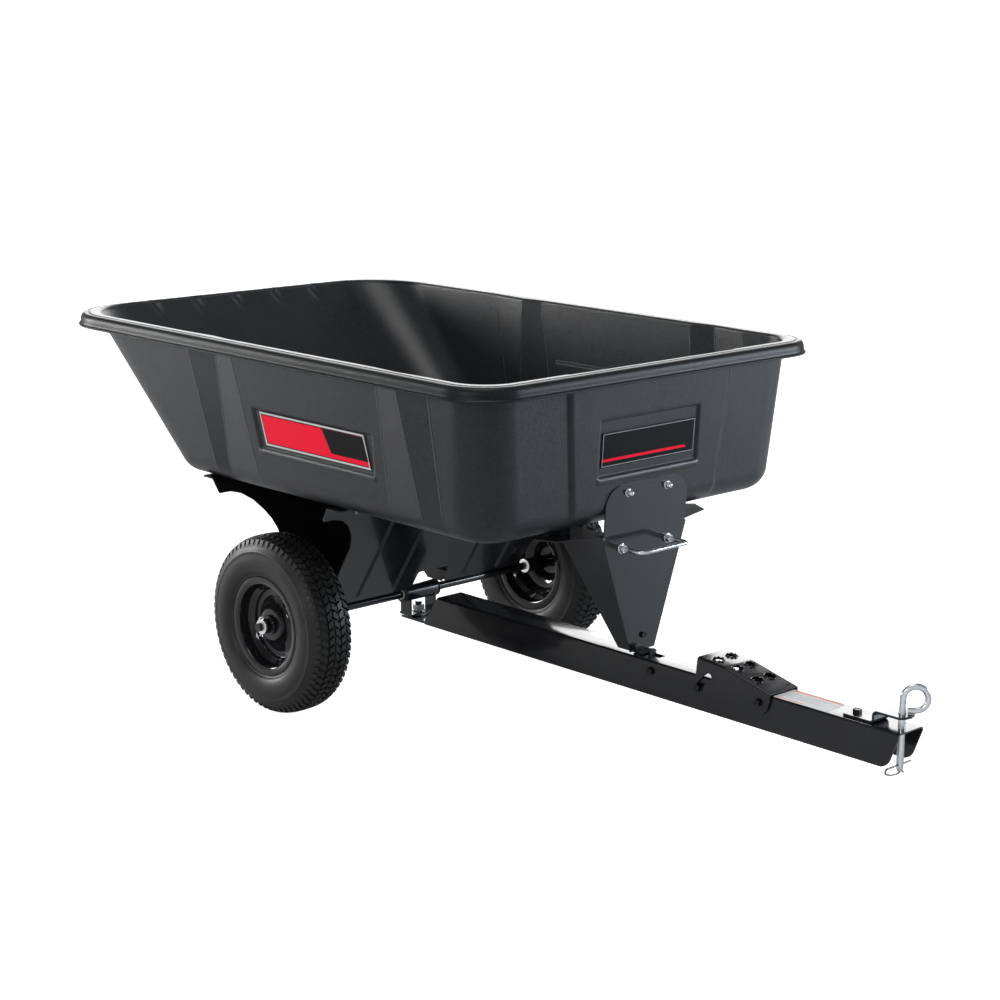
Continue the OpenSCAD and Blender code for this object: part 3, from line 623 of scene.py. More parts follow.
def wall_points(station, rows, fillet_rows):
    """Inner wall of one station from the top down to the floor."""
    n = outward(station)
    t2 = ring_point(TOP_RING, station)
    b2 = ring_point(FOOT_RING, station)
    c = b2 - n * FILLET
    out = t2 - c
    a, b = out.dot(n), WALL_TOP - TUB_FOOT
    side = out - n * a
    reach = math.hypot(a, b)
    psi = math.atan2(b, a) - math.acos(FILLET / reach)
    foot = (FILLET * math.cos(psi), FILLET * math.sin(psi))
    points = []
    for i in range(rows + 1):
        t = i / rows
        s, h = lerp(a, foot[0], t), lerp(b, foot[1], t)
        p = c + n * s + side * (1 - t)
        z = TUB_FOOT + h
        d = relief(station, p.x, p.y, z)
        q = p + n * (d * math.cos(psi))
        points.append((q.x, q.y, z + d * math.sin(psi)))
    for i in range(1, fillet_rows + 1):
        f = lerp(psi, -math.pi / 2, i / fillet_rows)
        p = c + n * (FILLET * math.cos(f))
        z = TUB_FOOT + FILLET * math.sin(f)
        d = relief(station, p.x, p.y, z)
        q = p + n * (d * math.cos(f))
        points.append((q.x, q.y, z))
    return points


def lip_profile():
    """(inset, height) from the skirt's lower edge over the lip to the top of the wall."""
    z = RIM_Z
    foot = z - LIP_H
    pts = [(1.2, foot), (0.3, foot + 0.9), (0.0, foot + 2.2), (0.4, foot + 3.5),
           (1.8, foot + 4.6), (3.6, foot + 5.4), (4.2, foot + 6.8), (4.5, z - 18), (5.0, z - 13),
           (6.2, z - 9), (8.0, z - 5.8), (10.2, z - 3.4), (12.6, z - 1.9), (15.0, z - 1.1)]
    pts += [(20.5, z - 0.5), (21.3, z - 0.7), (22.0, z - 1.9), (22.8, z - 2.2), (23.6, z - 1.9),
            (24.3, z - 0.5), (25.2, z - 0.1)]
    pts += [(30, z), (36, z), (39.5, z - 0.3), (42.0, z - 1.2), (43.8, z - 2.8), (44.7, z - 4.4)]
    return pts


# Inset of the lip's crest, outside which the lip takes a darker copy of the tub's material: painted shade.
LIP_CREST = 24.0
# Radius of the carriage bolts' domed heads.
CARRIAGE_HEAD_R = 9.5


def tub_column(station, lip, rings):
    """Points of one station, from the skirt over the lip and down the wall to the floor."""
    kind, k = station[:2]
    n = outward(station)
    inner = ring_point(TOP_RING, station)
    shift = relief(station, inner.x, inner.y, WALL_TOP)
    column = []
    for (d, z), r in zip(lip, rings):
        p = ring_point(r, station)
        cut_back = REAR_LIP_CUT * smooth(26, LIP_W, d)
        if kind == "side" and k == 1:
            p = p + n * cut_back
        elif kind == "arc" and k in (1, 2):
            p = p + Vector((-cut_back * abs(n.x), 0))
        near = smooth(30, 44.7, d)
        p = p + n * (shift * near)
        column.append((p.x, p.y, z - (abs(shift) * 0.55 * near if k == 1 else 0)))
    return column + wall_points(station, 104, 14)


def build_tub():
    bm = bmesh.new()
    lip = lip_profile()
    rings = [lip_ring(d) for d, _ in lip]
    grid = [[bm.verts.new(p) for p in tub_column(s, lip, rings)] for s in stations()]
    count = len(grid)
    outer_lip = sum(1 for d, _ in lip if d < LIP_CREST)
    for i in range(count):
        a, b = grid[i], grid[(i + 1) % count]
        for j in range(len(a) - 1):
            f = bm.faces.new((a[j], b[j], b[j + 1], a[j + 1]))
            f.material_index = 1 if j < outer_lip else 0
    # floor: two rings drawn in towards the middle, then one flat face
    last = [g[-1] for g in grid]
    mid = Vector((176, 0, FLOOR_Z))
    for k in (0.93, 0.5):
        new = [bm.verts.new(mid + (v.co - mid) * k) for v in last]
        bridge(bm, last, new)
        last = new
    bm.faces.new(last)
    o = piece("tub_shell", bm, TUB, "tub", ["tub"], angle=60, mats=[TUB, TUB_LIP_SHADED])
    s = o.modifiers.new("skin", "SOLIDIFY")
    s.thickness = SKIN * MM * 0.96
    s.offset = -1.0
    s.use_even_offset = True
    # the floor, the last face, has to look up, so that the skin grows away from the load
    if o.data.polygons[-1].normal.z <= 0:
        o.data.flip_normals()


def tub_bosses():
    _, hi, mid = box_mm("flange_bolts")
    profile = [(11, 0), (19.5, 0), (21.2, 1.2), (21.6, 3), (22.6, 15), (25, 17.6), (26, 18.4), (11, 18.4)]
    bm = bmesh.new()
    for s in (-1, 1):
        m = at(mid.x, s * (hi.y - CARRIAGE_HEAD_R), box_mm("stand_flanges")[1].z)
        lathe(bm, profile, m, 48, closed=True)
    piece("tub_floor_bosses", bm, TUB, "tub", angle=40)


build_tub()
tub_bosses()


# ---- Decals: plain colour fields -------------------------------------------------------------

# How far the side walls and the front wall lean out over their height.
SIDE_LEAN, FRONT_LEAN, WALL_RISE = 24.5, 16.0, 277.0


def wall_frame(side):
    """Matrix whose X runs along the wall, Y up it and Z outwards, for 'left', 'right' or 'front'."""
    node = "front_decal" if side == "front" else "side_decals"
    lo, hi, mid = box_mm(node)
    if side == "front":
        tilt = math.atan2(hi.x - lo.x, hi.z - lo.z)
        z = Vector((math.cos(tilt), 0, -math.sin(tilt)))
        x = Vector((0, 1, 0))
        y = z.cross(x)
        origin = Vector((mid.x, 0, mid.z))
    else:
        s = 1 if side == "left" else -1
        tilt = math.atan2(SIDE_LEAN, WALL_RISE)
        z = Vector((0, s * math.cos(tilt), -math.sin(tilt)))
        x = Vector((1 if s < 0 else -1, 0, 0))
        y = z.cross(x)
        origin = Vector((mid.x, s * (hi.y - 0.5 * (hi.z - lo.z) * math.tan(tilt)), mid.z))
    m = Matrix((x, y, z)).transposed().to_4x4()
    m.translation = origin
    return m


def decal(name, side, fields, nodes=()):
    """fields: (material, outline, lift). Outlines are in the wall's frame."""
    bm = bmesh.new()
    mats = []
    for i, (material, outline, lift) in enumerate(fields):
        mats.append(material)
        prism(bm, outline, wall_frame(side) @ at(0, 0, lift), 0.22, i)
    return piece(name, bm, None, "tub", nodes, mats=mats)


def shrink(outline, d):
    """Outline with its points moved in by d along both axes."""
    cx = sum(p[0] for p in outline) / len(outline)
    cy = sum(p[1] for p in outline) / len(outline)
    return [(x - math.copysign(d, x - cx), y - math.copysign(d, y - cy)) for x, y in outline]


def side_decal(side):
    s = 1 if side == "right" else -1
    lean = 8
    h = 36.5
    half = 176

    def quad(x0, x1, y0, y1):
        corners = [(x0, y0), (x1, y0), (x1, y1), (x0, y1)]
        return [(s * (x - lean * y / h), y) for x, y in corners]

    whole = quad(-half, half, -h, h)
    black_part = [(30, h - 6.5), (half - 11, h - 6.5), (half + 2.5, -h + 16), (58, -h + 16)]
    red_strip = [(-20, -h + 14), (half + 2, -h + 14), (half + 4.5, -h + 6.5), (-16, -h + 6.5)]
    inner = shrink(whole, 4.2)
    red = shrink(whole, 6.4)
    fields = [
        (WHITE, whole, 0.0),
        (INK, inner, 0.12),
        (RED, red, 0.24),
        (INK, [(s * x, y) for x, y in black_part], 0.36),
        (RED, [(s * x, y) for x, y in red_strip], 0.42),
    ]
    nodes = ["side_decals"] if side == "right" else ()
    decal("side_decal_" + side, side, fields, nodes)


def front_decal():
    w, h = 141, 36.5
    whole = [(-w, -h), (w, -h), (w, h), (-w, h)]
    fields = [
        (INK, whole, 0.0),
        (GREY_INK, shrink(whole, 1.6), 0.1),
        (INK, shrink(whole, 3.4), 0.2),
        (RED, [(-w + 3.4, -h + 12), (w - 26, -h + 12), (w - 30, -h + 18), (-w + 3.4, -h + 18)], 0.32),
    ]
    decal("front_decal_plate", "front", fields, ["front_decal"])


side_decal("right")
side_decal("left")
front_decal()


# ---- Wheels ---------------------------------------------------------------------------------

TYRE_LO, TYRE_HI, TYRE_MID = box_mm("tyre_left")
WHEEL_R = (TYRE_HI.z - TYRE_LO.z) / 2
AXLE_Z = TYRE_MID.z
HALF_TRACK = TYRE_MID.y
TYRE_HALF = (TYRE_HI.y - TYRE_LO.y) / 2

CROWN = [(0, 203.0), (15, 202.6), (29, 201.0), (43, 195.0), (50, 181.0), (56, 163.0)]
TREAD_DEEP = 5.6
PITCHES = 68


def crown_r(y):
    """Radius of the tread's top at a distance from the tyre's middle."""
    y = abs(y)
    for (a, ra), (b, rb) in zip(CROWN, CROWN[1:]):
        if y <= b:
            return lerp(ra, rb, (y - a) / (b - a)) - (203.0 - WHEEL_R)
    return CROWN[-1][1]


def carcass_profile():
    """(radius, y) ring section of the tyre's body."""
    w = TYRE_HALF
    outer = [(97, w - 19.5), (108, w - 16.5), (111.8, w - 14.3), (114, w - 10.5), (116, w - 9.2),
             (119, w - 8.6), (121, w - 6.2), (126, w - 3.6), (134, w - 1.2), (143, w - 0.2),
             (152, w - 0.4), (160, w - 1.6), (166, w - 3.0), (168, w - 2.6), (170, w - 2.8),
             (172, w - 4.6), (178, w - 7.8), (184, w - 11.2), (189, w - 16), (194, w - 24),
             (196.6, w - 36), (197.4, 12)]
    inner = [(191, 0), (181, w - 24), (150, w - 9), (120, w - 17), (104, w - 25)]
    full = outer + [(197.5, 0)] + [(r, -y) for r, y in reversed(outer)]
    full += [(r, -y) for r, y in reversed(inner[1:])] + [inner[0]] + inner[1:]
    return full


def outwards(side):
    """The wheel's side as a sign, and the turn that takes local Z outwards."""
    return (1, TO_Y) if side == "left" else (-1, TO_MINUS_Y)


# Each tread row: from and to across the tyre, slant of its blocks, shift as a share of the pitch.
TREAD_ROWS = [(-40.5, -26.2, 4.6, 0.0), (-23.0, -9.4, -4.6, 0.14), (-6.6, 6.6, 4.6, 0.0),
              (9.4, 23.0, -4.6, 0.14), (26.2, 40.5, 4.6, 0.0)]


def tread_block(bm, m, points, low, draft):
    """Block given by (angle, y) points on the crown, its foot sunk by low and its top drawn in."""
    def on_crown(u, y, lift):
        r = crown_r(y) + lift
        return bm.verts.new(m @ Vector((r * math.cos(u), r * math.sin(u), y)))

    cu = sum(p[0] for p in points) / len(points)
    cy = sum(p[1] for p in points) / len(points)
    lows = [on_crown(u, y, low) for u, y in points]
    tops = [on_crown(lerp(u, cu, draft), lerp(y, cy, draft), 0.0) for u, y in points]
    bm.faces.new(lows)
    bm.faces.new(tops)
    bridge(bm, lows, tops)


def tread(bm, m):
    pitch = TAU / PITCHES
    mm = 1 / WHEEL_R
    for k in range(PITCHES):
        base = k * pitch
        for y0, y1, slant, shift in TREAD_ROWS:
            u = base + shift * pitch
            long = 6.3 * mm
            d = slant * mm
            ym = (y0 + y1) / 2
            points = [(u - long - d, y0), (u - long, ym - 1), (u - long + d, y1), (u + long + d, y1),
                      (u + long, ym + 1), (u + long - d, y0)]
            tread_block(bm, m, points, -TREAD_DEEP - 1.2, 0.05)
        u = base + 0.5 * pitch
        long = 6.2 * mm
        for edge in (-1, 1):
            points = [(u - long, 42.2), (u - long * 0.9, 49.5), (u - long * 0.5, 53.2),
                      (u + long * 0.5, 53.2), (u + long * 0.9, 49.5), (u + long, 42.2)]
            tread_block(bm, m, [(a, edge * y) for a, y in points], -6.5, 0.03)


def vent_marks(bm, m):
    """Small marks moulded in two rings on each sidewall."""
    for edge in (-1, 1):
        for k in range(22):
            a = TAU * (k + 0.37) / 22
            r, sunk = (150, 0.3) if k % 2 else (160, 1.6)
            place = at(r * math.cos(a), r * math.sin(a), edge * (TYRE_HALF - sunk))
            profile = [(0, 0.9), (0.9, 0.8), (1.3, 0.0), (1.3, -1.5)]
            lathe(bm, profile, m @ place @ (UP if edge > 0 else DOWN), 10)


def build_tyre(side, body):
    s, out = outwards(side)
    m = at(0, s * HALF_TRACK, AXLE_Z) @ out
    bm = bmesh.new()
    lathe(bm, carcass_profile(), m, 168, closed=True)
    tread(bm, m)
    vent_marks(bm, m)
    piece("tyre_body_" + side, bm, RUBBER, body, ["tyre_" + side], angle=38)


def rim_profiles():
    w = 45.0
    flange = [(111, w), (112, w + 1.6), (111.4, w + 3.2), (109, w + 3.8), (104, w + 3.4), (99, w + 2.6),
              (95.5, w + 1), (94, w - 2), (93.2, 28), (91.4, 22.5), (86, 18.4), (80.5, 15.4),
              (78.6, 12.6), (78, 9), (78, -8), (78.8, -11.6), (81, -14), (92, -21.6), (93, -25),
              (93, -w - 1), (94.4, -w - 2.4), (97, -w - 3), (109, -w - 3.4), (111.4, -w - 2),
              (111, -w), (98, -w), (96, -w + 1.4), (96, -27), (95, -24),
              (82.6, -14), (81, -11), (81, 14), (83, 17), (94.6, 25), (96, 28), (96, w - 1.4), (98, w)]
    disc = [(17, 30.5), (30, 30.6), (35.5, 29.6), (38.4, 26.4), (41, 20.4), (44.5, 14.4), (48, 11.6),
            (56, 8.6), (64, 6.2), (70, 6.2), (74, 8.2), (79, 8.6), (79, 5.4), (75, 5.2), (71, 3.2),
            (64, 3.1), (55, 5.5), (47, 8.3), (42.3, 12.6), (38.8, 18.6), (35.8, 24.4), (33.4, 27),
            (30, 27.6), (17, 27.6)]
    hub = [(13, -57.4), (13.6, -58), (16.4, -58), (17, -57.4), (17, 50.4), (16.4, 51.6), (15.6, 52),
           (13.6, 52), (13, 51.4)]
    collar = [(17, 31), (21.5, 31), (22.4, 32), (22.4, 37), (21.5, 38), (17, 38)]
    return flange, disc, hub, collar


def build_rim(side, body):
    s, out = outwards(side)
    m = at(0, s * HALF_TRACK, AXLE_Z) @ out
    bm = bmesh.new()
    flange, disc, hub, collar = rim_profiles()
    for profile, n in ((flange, 144), (disc, 120), (hub, 56), (collar, 56)):
        lathe(bm, profile, m, n, closed=True)
    piece("rim_shell_" + side, bm, RIM_BLACK, body, ["rim_" + side], angle=34)
    lo, hi, mid = box_mm("valve_" + side)
    bm = bmesh.new()
    v = at(mid.x, s * min(abs(lo.y), abs(hi.y)), mid.z) @ out
    lathe(bm, [(0, -1), (4.6, -1), (4.6, 1.2), (4.2, 2), (4.0, 12), (3.6, 15.5), (2.9, 17), (2.9, 21),
               (3.4, 21.6), (3.5, 29), (3.0, 31.4), (0, 32)], v, 32)
    piece("valve_stem_" + side, bm, RUBBER, body, ["valve_" + side], angle=40)


for wheel_side in ("left", "right"):
    build_tyre(wheel_side, "wheel_" + wheel_side)
    build_rim(wheel_side, "wheel_" + wheel_side)


# ---- Fasteners ------------------------------------------------------------------------------

def hex_head(bm, m, flats, h, hole=0.0, dish=False):
    """Hexagon with its upper corners chamfered, standing on local z = 0."""
    outer = flats / math.sqrt(3)
    n = 48
    low, rim, crown = [], [], []
    for i in range(n):
        a = TAU * i / n
        sector = (a + math.pi / 6) % (math.pi / 3) - math.pi / 6
        r = (flats / 2) / math.cos(sector)
        drop = (r - flats / 2) / (outer - flats / 2) * flats * 0.055
        c, s = math.cos(a), math.sin(a)
        low.append(bm.verts.new(m @ Vector((r * c, r * s, 0))))
        rim.append(bm.verts.new(m @ Vector((r * c, r * s, h - 0.35 - drop))))
        crown.append(bm.verts.new(m @ Vector((flats * 0.47 * c, flats * 0.47 * s, h))))

    def circle(r, z):
        spokes = [(math.cos(TAU * i / n), math.sin(TAU * i / n)) for i in range(n)]
        return [bm.verts.new(m @ Vector((r * c, r * s, z))) for c, s in spokes]

    loops = [low, rim, crown]
    if hole:
        loops += [circle(hole, h - 0.4), circle(hole, 0), low]
    elif dish:
        loops.append(circle(flats * 0.33, h - 0.5))
    for a, b in zip(loops, loops[1:]):
        bridge(bm, a, b)
    if not hole:
        bm.faces.new(low)
        bm.faces.new(loops[-1])


def thread(bm, m, r, z0, z1, pitch=1.4):
    """Threaded stud end as stacked ridges."""
    pts = [(0, z0)]
    z = z0
    while z < z1 - pitch:
        pts += [(r - 0.55, z), (r - 0.05, z + pitch * 0.35), (r - 0.05, z + pitch * 0.5),
                (r - 0.55, z + pitch * 0.9)]
        z += pitch
    pts += [(r - 0.8, z1 - 0.4), (r - 1.4, z1), (0, z1)]
    lathe(bm, pts, m, 28)


def nuts(name, node, places, flats, h, hole, material, body):
    """Nuts of one node, each drawn from its place along local Z."""
    bm = bmesh.new()
    for m in places:
        hex_head(bm, m, flats, h, hole=hole)
    piece(name, bm, material, body, [node], angle=34)


# The M10 hexagon bolts: width across flats, head height and nut height, shank radius.
HEX_FLATS, HEX_HEAD, HEX_NUT, HEX_R = 16, 6.5, 8, 5


def cross_fastener(name, bolt_node, nut_node, body):
    """Bolt across the tongue with a chamfered head, and its nut with the threaded end."""
    lo, hi, mid = box_mm(bolt_node)
    nut_y = box_mm(nut_node)[0].y
    r = HEX_R
    head = at(mid.x, lo.y + HEX_HEAD, mid.z) @ TO_MINUS_Y
    shank = at(mid.x, lo.y + HEX_HEAD - 0.3, mid.z) @ TO_Y
    plain = nut_y - lo.y - HEX_HEAD
    bm = bmesh.new()
    hex_head(bm, head, HEX_FLATS, HEX_HEAD, dish=True)
    lathe(bm, [(r * 1.75, 0), (r * 1.75, 0.5), (0, 0.5)], head, 40)
    lathe(bm, [(0, 0), (r - 0.03, 0), (r - 0.03, plain), (r - 0.6, plain + 0.5), (0, plain + 0.5)], shank, 40)
    thread(bm, shank, r, plain + 0.3, hi.y - lo.y - HEX_HEAD + 0.3)
    piece(name, bm, BLACK_ZINC, body, [bolt_node], angle=34)
    nut = at(mid.x, nut_y, mid.z) @ TO_Y
    nuts(name + "_nut", nut_node, [nut], HEX_FLATS, HEX_NUT, r, BLACK_ZINC, body)


cross_fastener("cross_bolt_steel", "cross_bolt", "cross_nut", "tongue")
cross_fastener("pivot_bolt_steel", "pedal_pivot_bolt", "pedal_pivot_nut", "tongue")
cross_fastener("cam_bolt_steel", "cam_bolt", "cam_nut", "latch")


# The M8 bolts: nut's width across flats, and shank radius.
SMALL_FLATS, SMALL_R = 13, 4


def strap_fastener():
    lo, hi, mid = box_mm("strap_bolt")
    bm = bmesh.new()
    base = hi.z - 7
    hex_head(bm, at(mid.x, 0, base), HEX_FLATS, 7, dish=True)
    lathe(bm, [(8.8, 0), (8.8, 0.5), (0, 0.5)], at(mid.x, 0, base), 40)
    thread(bm, at(mid.x, 0, lo.z), HEX_R, 0, hi.z - 7.2 - lo.z)
    piece("strap_bolt_steel", bm, BLACK_ZINC, "tongue", ["strap_bolt"], angle=34)
    nlo, nhi, _ = box_mm("strap_nut")
    nuts("strap_nut_steel", "strap_nut", [at(mid.x, 0, nhi.z) @ DOWN], HEX_FLATS, nhi.z - nlo.z, HEX_R,
         BLACK_ZINC, "tongue")


def striker_fastener():
    lo, hi, mid = box_mm("striker_bolt")
    bm = bmesh.new()
    hex_head(bm, at(hi.x - 5.5, 0, mid.z) @ TO_X, SMALL_FLATS, 5.5, dish=True)
    lathe(bm, [(7.6, 0), (7.6, 0.4), (0, 0.4)], at(hi.x - 5.5, 0, mid.z) @ TO_X, 40)
    thread(bm, at(hi.x - 5.3, 0, mid.z) @ TO_MINUS_X, SMALL_R, 0, hi.x - 5.3 - lo.x, 1.25)
    piece("striker_bolt_steel", bm, BLACK_ZINC, "tub", ["striker_bolt"], angle=34)
    nlo, nhi, _ = box_mm("striker_nut")
    nuts("striker_nut_steel", "striker_nut", [at(nhi.x, 0, mid.z) @ TO_MINUS_X], SMALL_FLATS, nhi.x - nlo.x,
         SMALL_R, BLACK_ZINC, "tub")


def carriage_bolts(name, node, nut_node, places):
    """Domed heads inside the tub, with shanks and nuts below."""
    lo, hi, _ = box_mm(node)
    bm = bmesh.new()
    for x, y in places:
        m = at(x, y, hi.z - 4)
        lathe(bm, [(CARRIAGE_HEAD_R, 0), (9.4, 0.8), (8.6, 2.0), (6.6, 3.2), (3.6, 3.85), (0, 4)], m, 40)
        thread(bm, at(x, y, lo.z), SMALL_R, 0, hi.z - 4 - lo.z, 1.25)
    piece(name, bm, ZINC, "tub", [node], angle=40)
    nlo, nhi, _ = box_mm(nut_node)
    nuts(name + "_nuts", nut_node, [at(x, y, nhi.z) @ DOWN for x, y in places], SMALL_FLATS, nhi.z - nlo.z,
         SMALL_R, ZINC, "tub")


def saddle_fasteners():
    hi = box_mm("saddle_bolts")[1]
    x, outer_y = hi.x - CARRIAGE_HEAD_R, hi.y - CARRIAGE_HEAD_R
    places = [(sx * x, sy * y) for sx in (-1, 1) for sy in (-1, 1) for y in (150.0, outer_y)]
    carriage_bolts("saddle_carriage_bolts", "saddle_bolts", "saddle_nuts", places)


def foot_fasteners():
    _, hi, mid = box_mm("flange_bolts")
    places = [(mid.x, s * (hi.y - CARRIAGE_HEAD_R)) for s in (-1, 1)]
    carriage_bolts("foot_carriage_bolts", "flange_bolts", "flange_nuts", places)


strap_fastener()
striker_fastener()
saddle_fasteners()
foot_fasteners()


def stand_fasteners():
    """Acorn nuts outside the stand's upper plate, domed heads inside the tub."""
    lo, hi, mid = box_mm("stand_acorn_nuts")
    m_tilt = Matrix.Rotation(math.atan2(FRONT_LEAN, WALL_RISE), 4, "Y") @ TO_X
    ys = hi.y - 9
    dome, inner = bmesh.new(), bmesh.new()
    bolt_x = box_mm("stand_bolts")[0].x
    for s in (-1, 1):
        m = at(lo.x + 0.6, s * ys, mid.z) @ m_tilt
        lathe(dome, [(4, 0), (9, 0), (9.3, 0.5), (9, 1.4), (7.4, 1.7), (4, 1.7)], m, 40, closed=True)
        hex_head(dome, m @ at(0, 0, 1.4), SMALL_FLATS, 6.6)
        lathe(dome, [(6.0, 7.2), (6.0, 8.6), (5.5, 11.0), (4.2, 12.9), (2.2, 13.9), (0, 14.1)], m, 40)
        head = at(bolt_x + 3.2, s * ys, mid.z + 0.9) @ m_tilt @ DOWN
        profile = [(CARRIAGE_HEAD_R, 0), (9.4, 0.6), (8.4, 1.7), (6.0, 2.6), (3.2, 3.0), (0, 3.1)]
        lathe(inner, profile, head, 40)
    piece("stand_acorns", dome, BRIGHT_ZINC_GLOWING, "tub", ["stand_acorn_nuts"], angle=34)
    piece("stand_bolt_heads", inner, ZINC, "tub", ["stand_bolts"], angle=40)


stand_fasteners()


# ---- Lift handle ----------------------------------------------------------------------------

def lift_handle():
    lo, hi, mid = box_mm("lift_handle")
    r = (hi.z - lo.z) / 2
    bar_x = hi.x - r
    y = hi.y - r
    bend = 13
    z = mid.z
    path = [(lo.x, -y, z), (lo.x + 10, -y, z), (bar_x - bend - 8, -y, z)]
    path += arc((bar_x - bend, -y + bend, z), (1, 0, 0), (0, 1, 0), bend, -90, 0, 10)
    path += [(bar_x, -y / 3, z), (bar_x, y / 3, z)]
    path += arc((bar_x - bend, y - bend, z), (1, 0, 0), (0, 1, 0), bend, 0, 90, 10)
    path += [(bar_x - bend - 8, y, z), (lo.x + 10, y, z), (lo.x, y, z)]
    bm = bmesh.new()
    sweep(bm, path, r, 24)
    for s in (-1, 1):
        thread(bm, at(lo.x - 0.2, s * y, z) @ TO_X, r + 0.32, 0, 46)
    piece("lift_handle_bar", bm, BRIGHT_ZINC_GLOWING, "tub", ["lift_handle"], angle=40)
    nlo, nhi, _ = box_mm("handle_nuts")
    places = []
    for s in (-1, 1):
        places += [at(nhi.x - HEX_NUT, s * y, z) @ TO_X, at(nlo.x + HEX_NUT, s * y, z) @ TO_MINUS_X]
    nuts("lift_handle_nuts", "handle_nuts", places, HEX_FLATS, HEX_NUT, r, BRIGHT_ZINC_GLOWING, "tub")


lift_handle()


# ---- Saddle ---------------------------------------------------------------------------------

PANEL_TILT = math.degrees(math.atan(0.635))
PANEL_FOOT_X, PANEL_FOOT_Z = 15, 200
# The flange along the top of each panel: where it starts, half its width and its depth.
FLANGE_X, FLANGE_HALF, FLANGE_DEPTH = 203, 440, 44
RIB_Y = (-218, -108, 108, 218)
SHEET = 3.0


def saddle_half():
    c = math.cos(math.radians(PANEL_TILT))

    def up(z):
        return (z - PANEL_FOOT_Z) / c

    pts = [(49, up(267)), (49, up(222)), (292, up(222)), (314, up(314)), (316, up(384)), (322, up(404)),
           (334, up(424)), (352, up(446)), (378, up(464)), (404, up(471)), (436, up(471)), (440, 357)]
    return pts


def saddle_panel(name, node, mirror):
    hi = box_mm(node)[1]
    half = saddle_half()
    radii = [6, 14, 10, 18, 30, 30, 30, 30, 30, 20, 4, 0]
    outline = rounded(half + [(-y, u) for y, u in reversed(half)],
                      radii + [0, 4, 20, 30, 30, 30, 30, 30, 18, 10, 14, 6], 5)
    flip = Matrix.Scale(-1, 4, (1, 0, 0)) if mirror else UP
    base = flip @ at(PANEL_FOOT_X, 0, PANEL_FOOT_Z) @ turn("Y", PANEL_TILT) @ YZ_TO_X
    bm = bmesh.new()
    prism(bm, outline, base @ at(0, 0, -SHEET), SHEET)
    top_m = flip @ at(FLANGE_X, -FLANGE_HALF, hi.z - SHEET)
    flange = [(0, 0), (FLANGE_DEPTH, 0), (FLANGE_DEPTH, 2 * FLANGE_HALF), (0, 2 * FLANGE_HALF)]
    prism(bm, rounded(flange, [0, 10, 10, 0], 6), top_m, SHEET)
    # folded edge between the panel and its top flange
    fold = [flip @ Vector((FLANGE_X + 1.6, y, 501.6)) for y in (-FLANGE_HALF, FLANGE_HALF)]
    sweep(bm, fold, 1.9, 12)
    for y in RIB_Y:
        rib(bm, base, y, 36, 321)
    piece(name, bm, BLACK, "tub", [node], bevel=0.6, angle=40)


def rib(bm, base, y, u0, u1):
    """Pressed rib: a low rounded ridge with rounded ends."""
    width, height = 6.4, 4.6
    stations_u = [u0, u0 + 1.5, u0 + 4, u0 + 9, u0 + 16] + [u1 - 16, u1 - 9, u1 - 4, u1 - 1.5, u1]
    scale = [0.05, 0.35, 0.65, 0.92, 1.0, 1.0, 0.92, 0.65, 0.35, 0.05]
    rows = []
    for u, k in zip(stations_u, scale):
        row = []
        for i in range(9):
            t = -1 + 2 * i / 8
            h = height * k * (0.5 + 0.5 * math.cos(math.pi * t))
            row.append(bm.verts.new(base @ Vector((y + t * width * (0.55 + 0.45 * k), u, h + 0.02))))
        rows.append(row)
    for a, b in zip(rows, rows[1:]):
        for i in range(8):
            bm.faces.new((a[i], a[i + 1], b[i + 1], b[i]))


saddle_panel("saddle_front_sheet", "saddle_front_panel", False)
saddle_panel("saddle_rear_sheet", "saddle_rear_panel", True)


# ---- Tongue ---------------------------------------------------------------------------------

BEAM_LO, BEAM_HI = box_mm("tongue_beam")[:2]


def channel_section(half, top, low, t, bend):
    """Outline of an inverted channel, Y across and Z up, with bent corners."""
    quarter = [math.pi / 2 * k / 6 for k in range(7)]
    out = [(-half, low), (-half, top - bend)]
    out += [(-half + bend - bend * math.cos(a), top - bend + bend * math.sin(a)) for a in quarter[1:]]
    out += [(half - bend + bend * math.sin(a), top - bend + bend * math.cos(a)) for a in quarter]
    out += [(half, low), (half - t, low)]
    b = bend - t
    out += [(half - t - b + b * math.cos(a), top - t - b + b * math.sin(a)) for a in quarter]
    out += [(-half + t + b - b * math.sin(a), top - t - b + b * math.cos(a)) for a in quarter]
    out += [(-half + t, low)]
    clean = []
    for p in out:
        if not clean or math.dist(p, clean[-1]) > 1e-4:
            clean.append(p)
    return clean


# Radius of the hitch pin's shank, and how far the latch slides.
PIN_R = 7.2
LATCH_TRAVEL = 26.0
# Holes for the M10 bolts.
BOLT_HOLE = 5.05


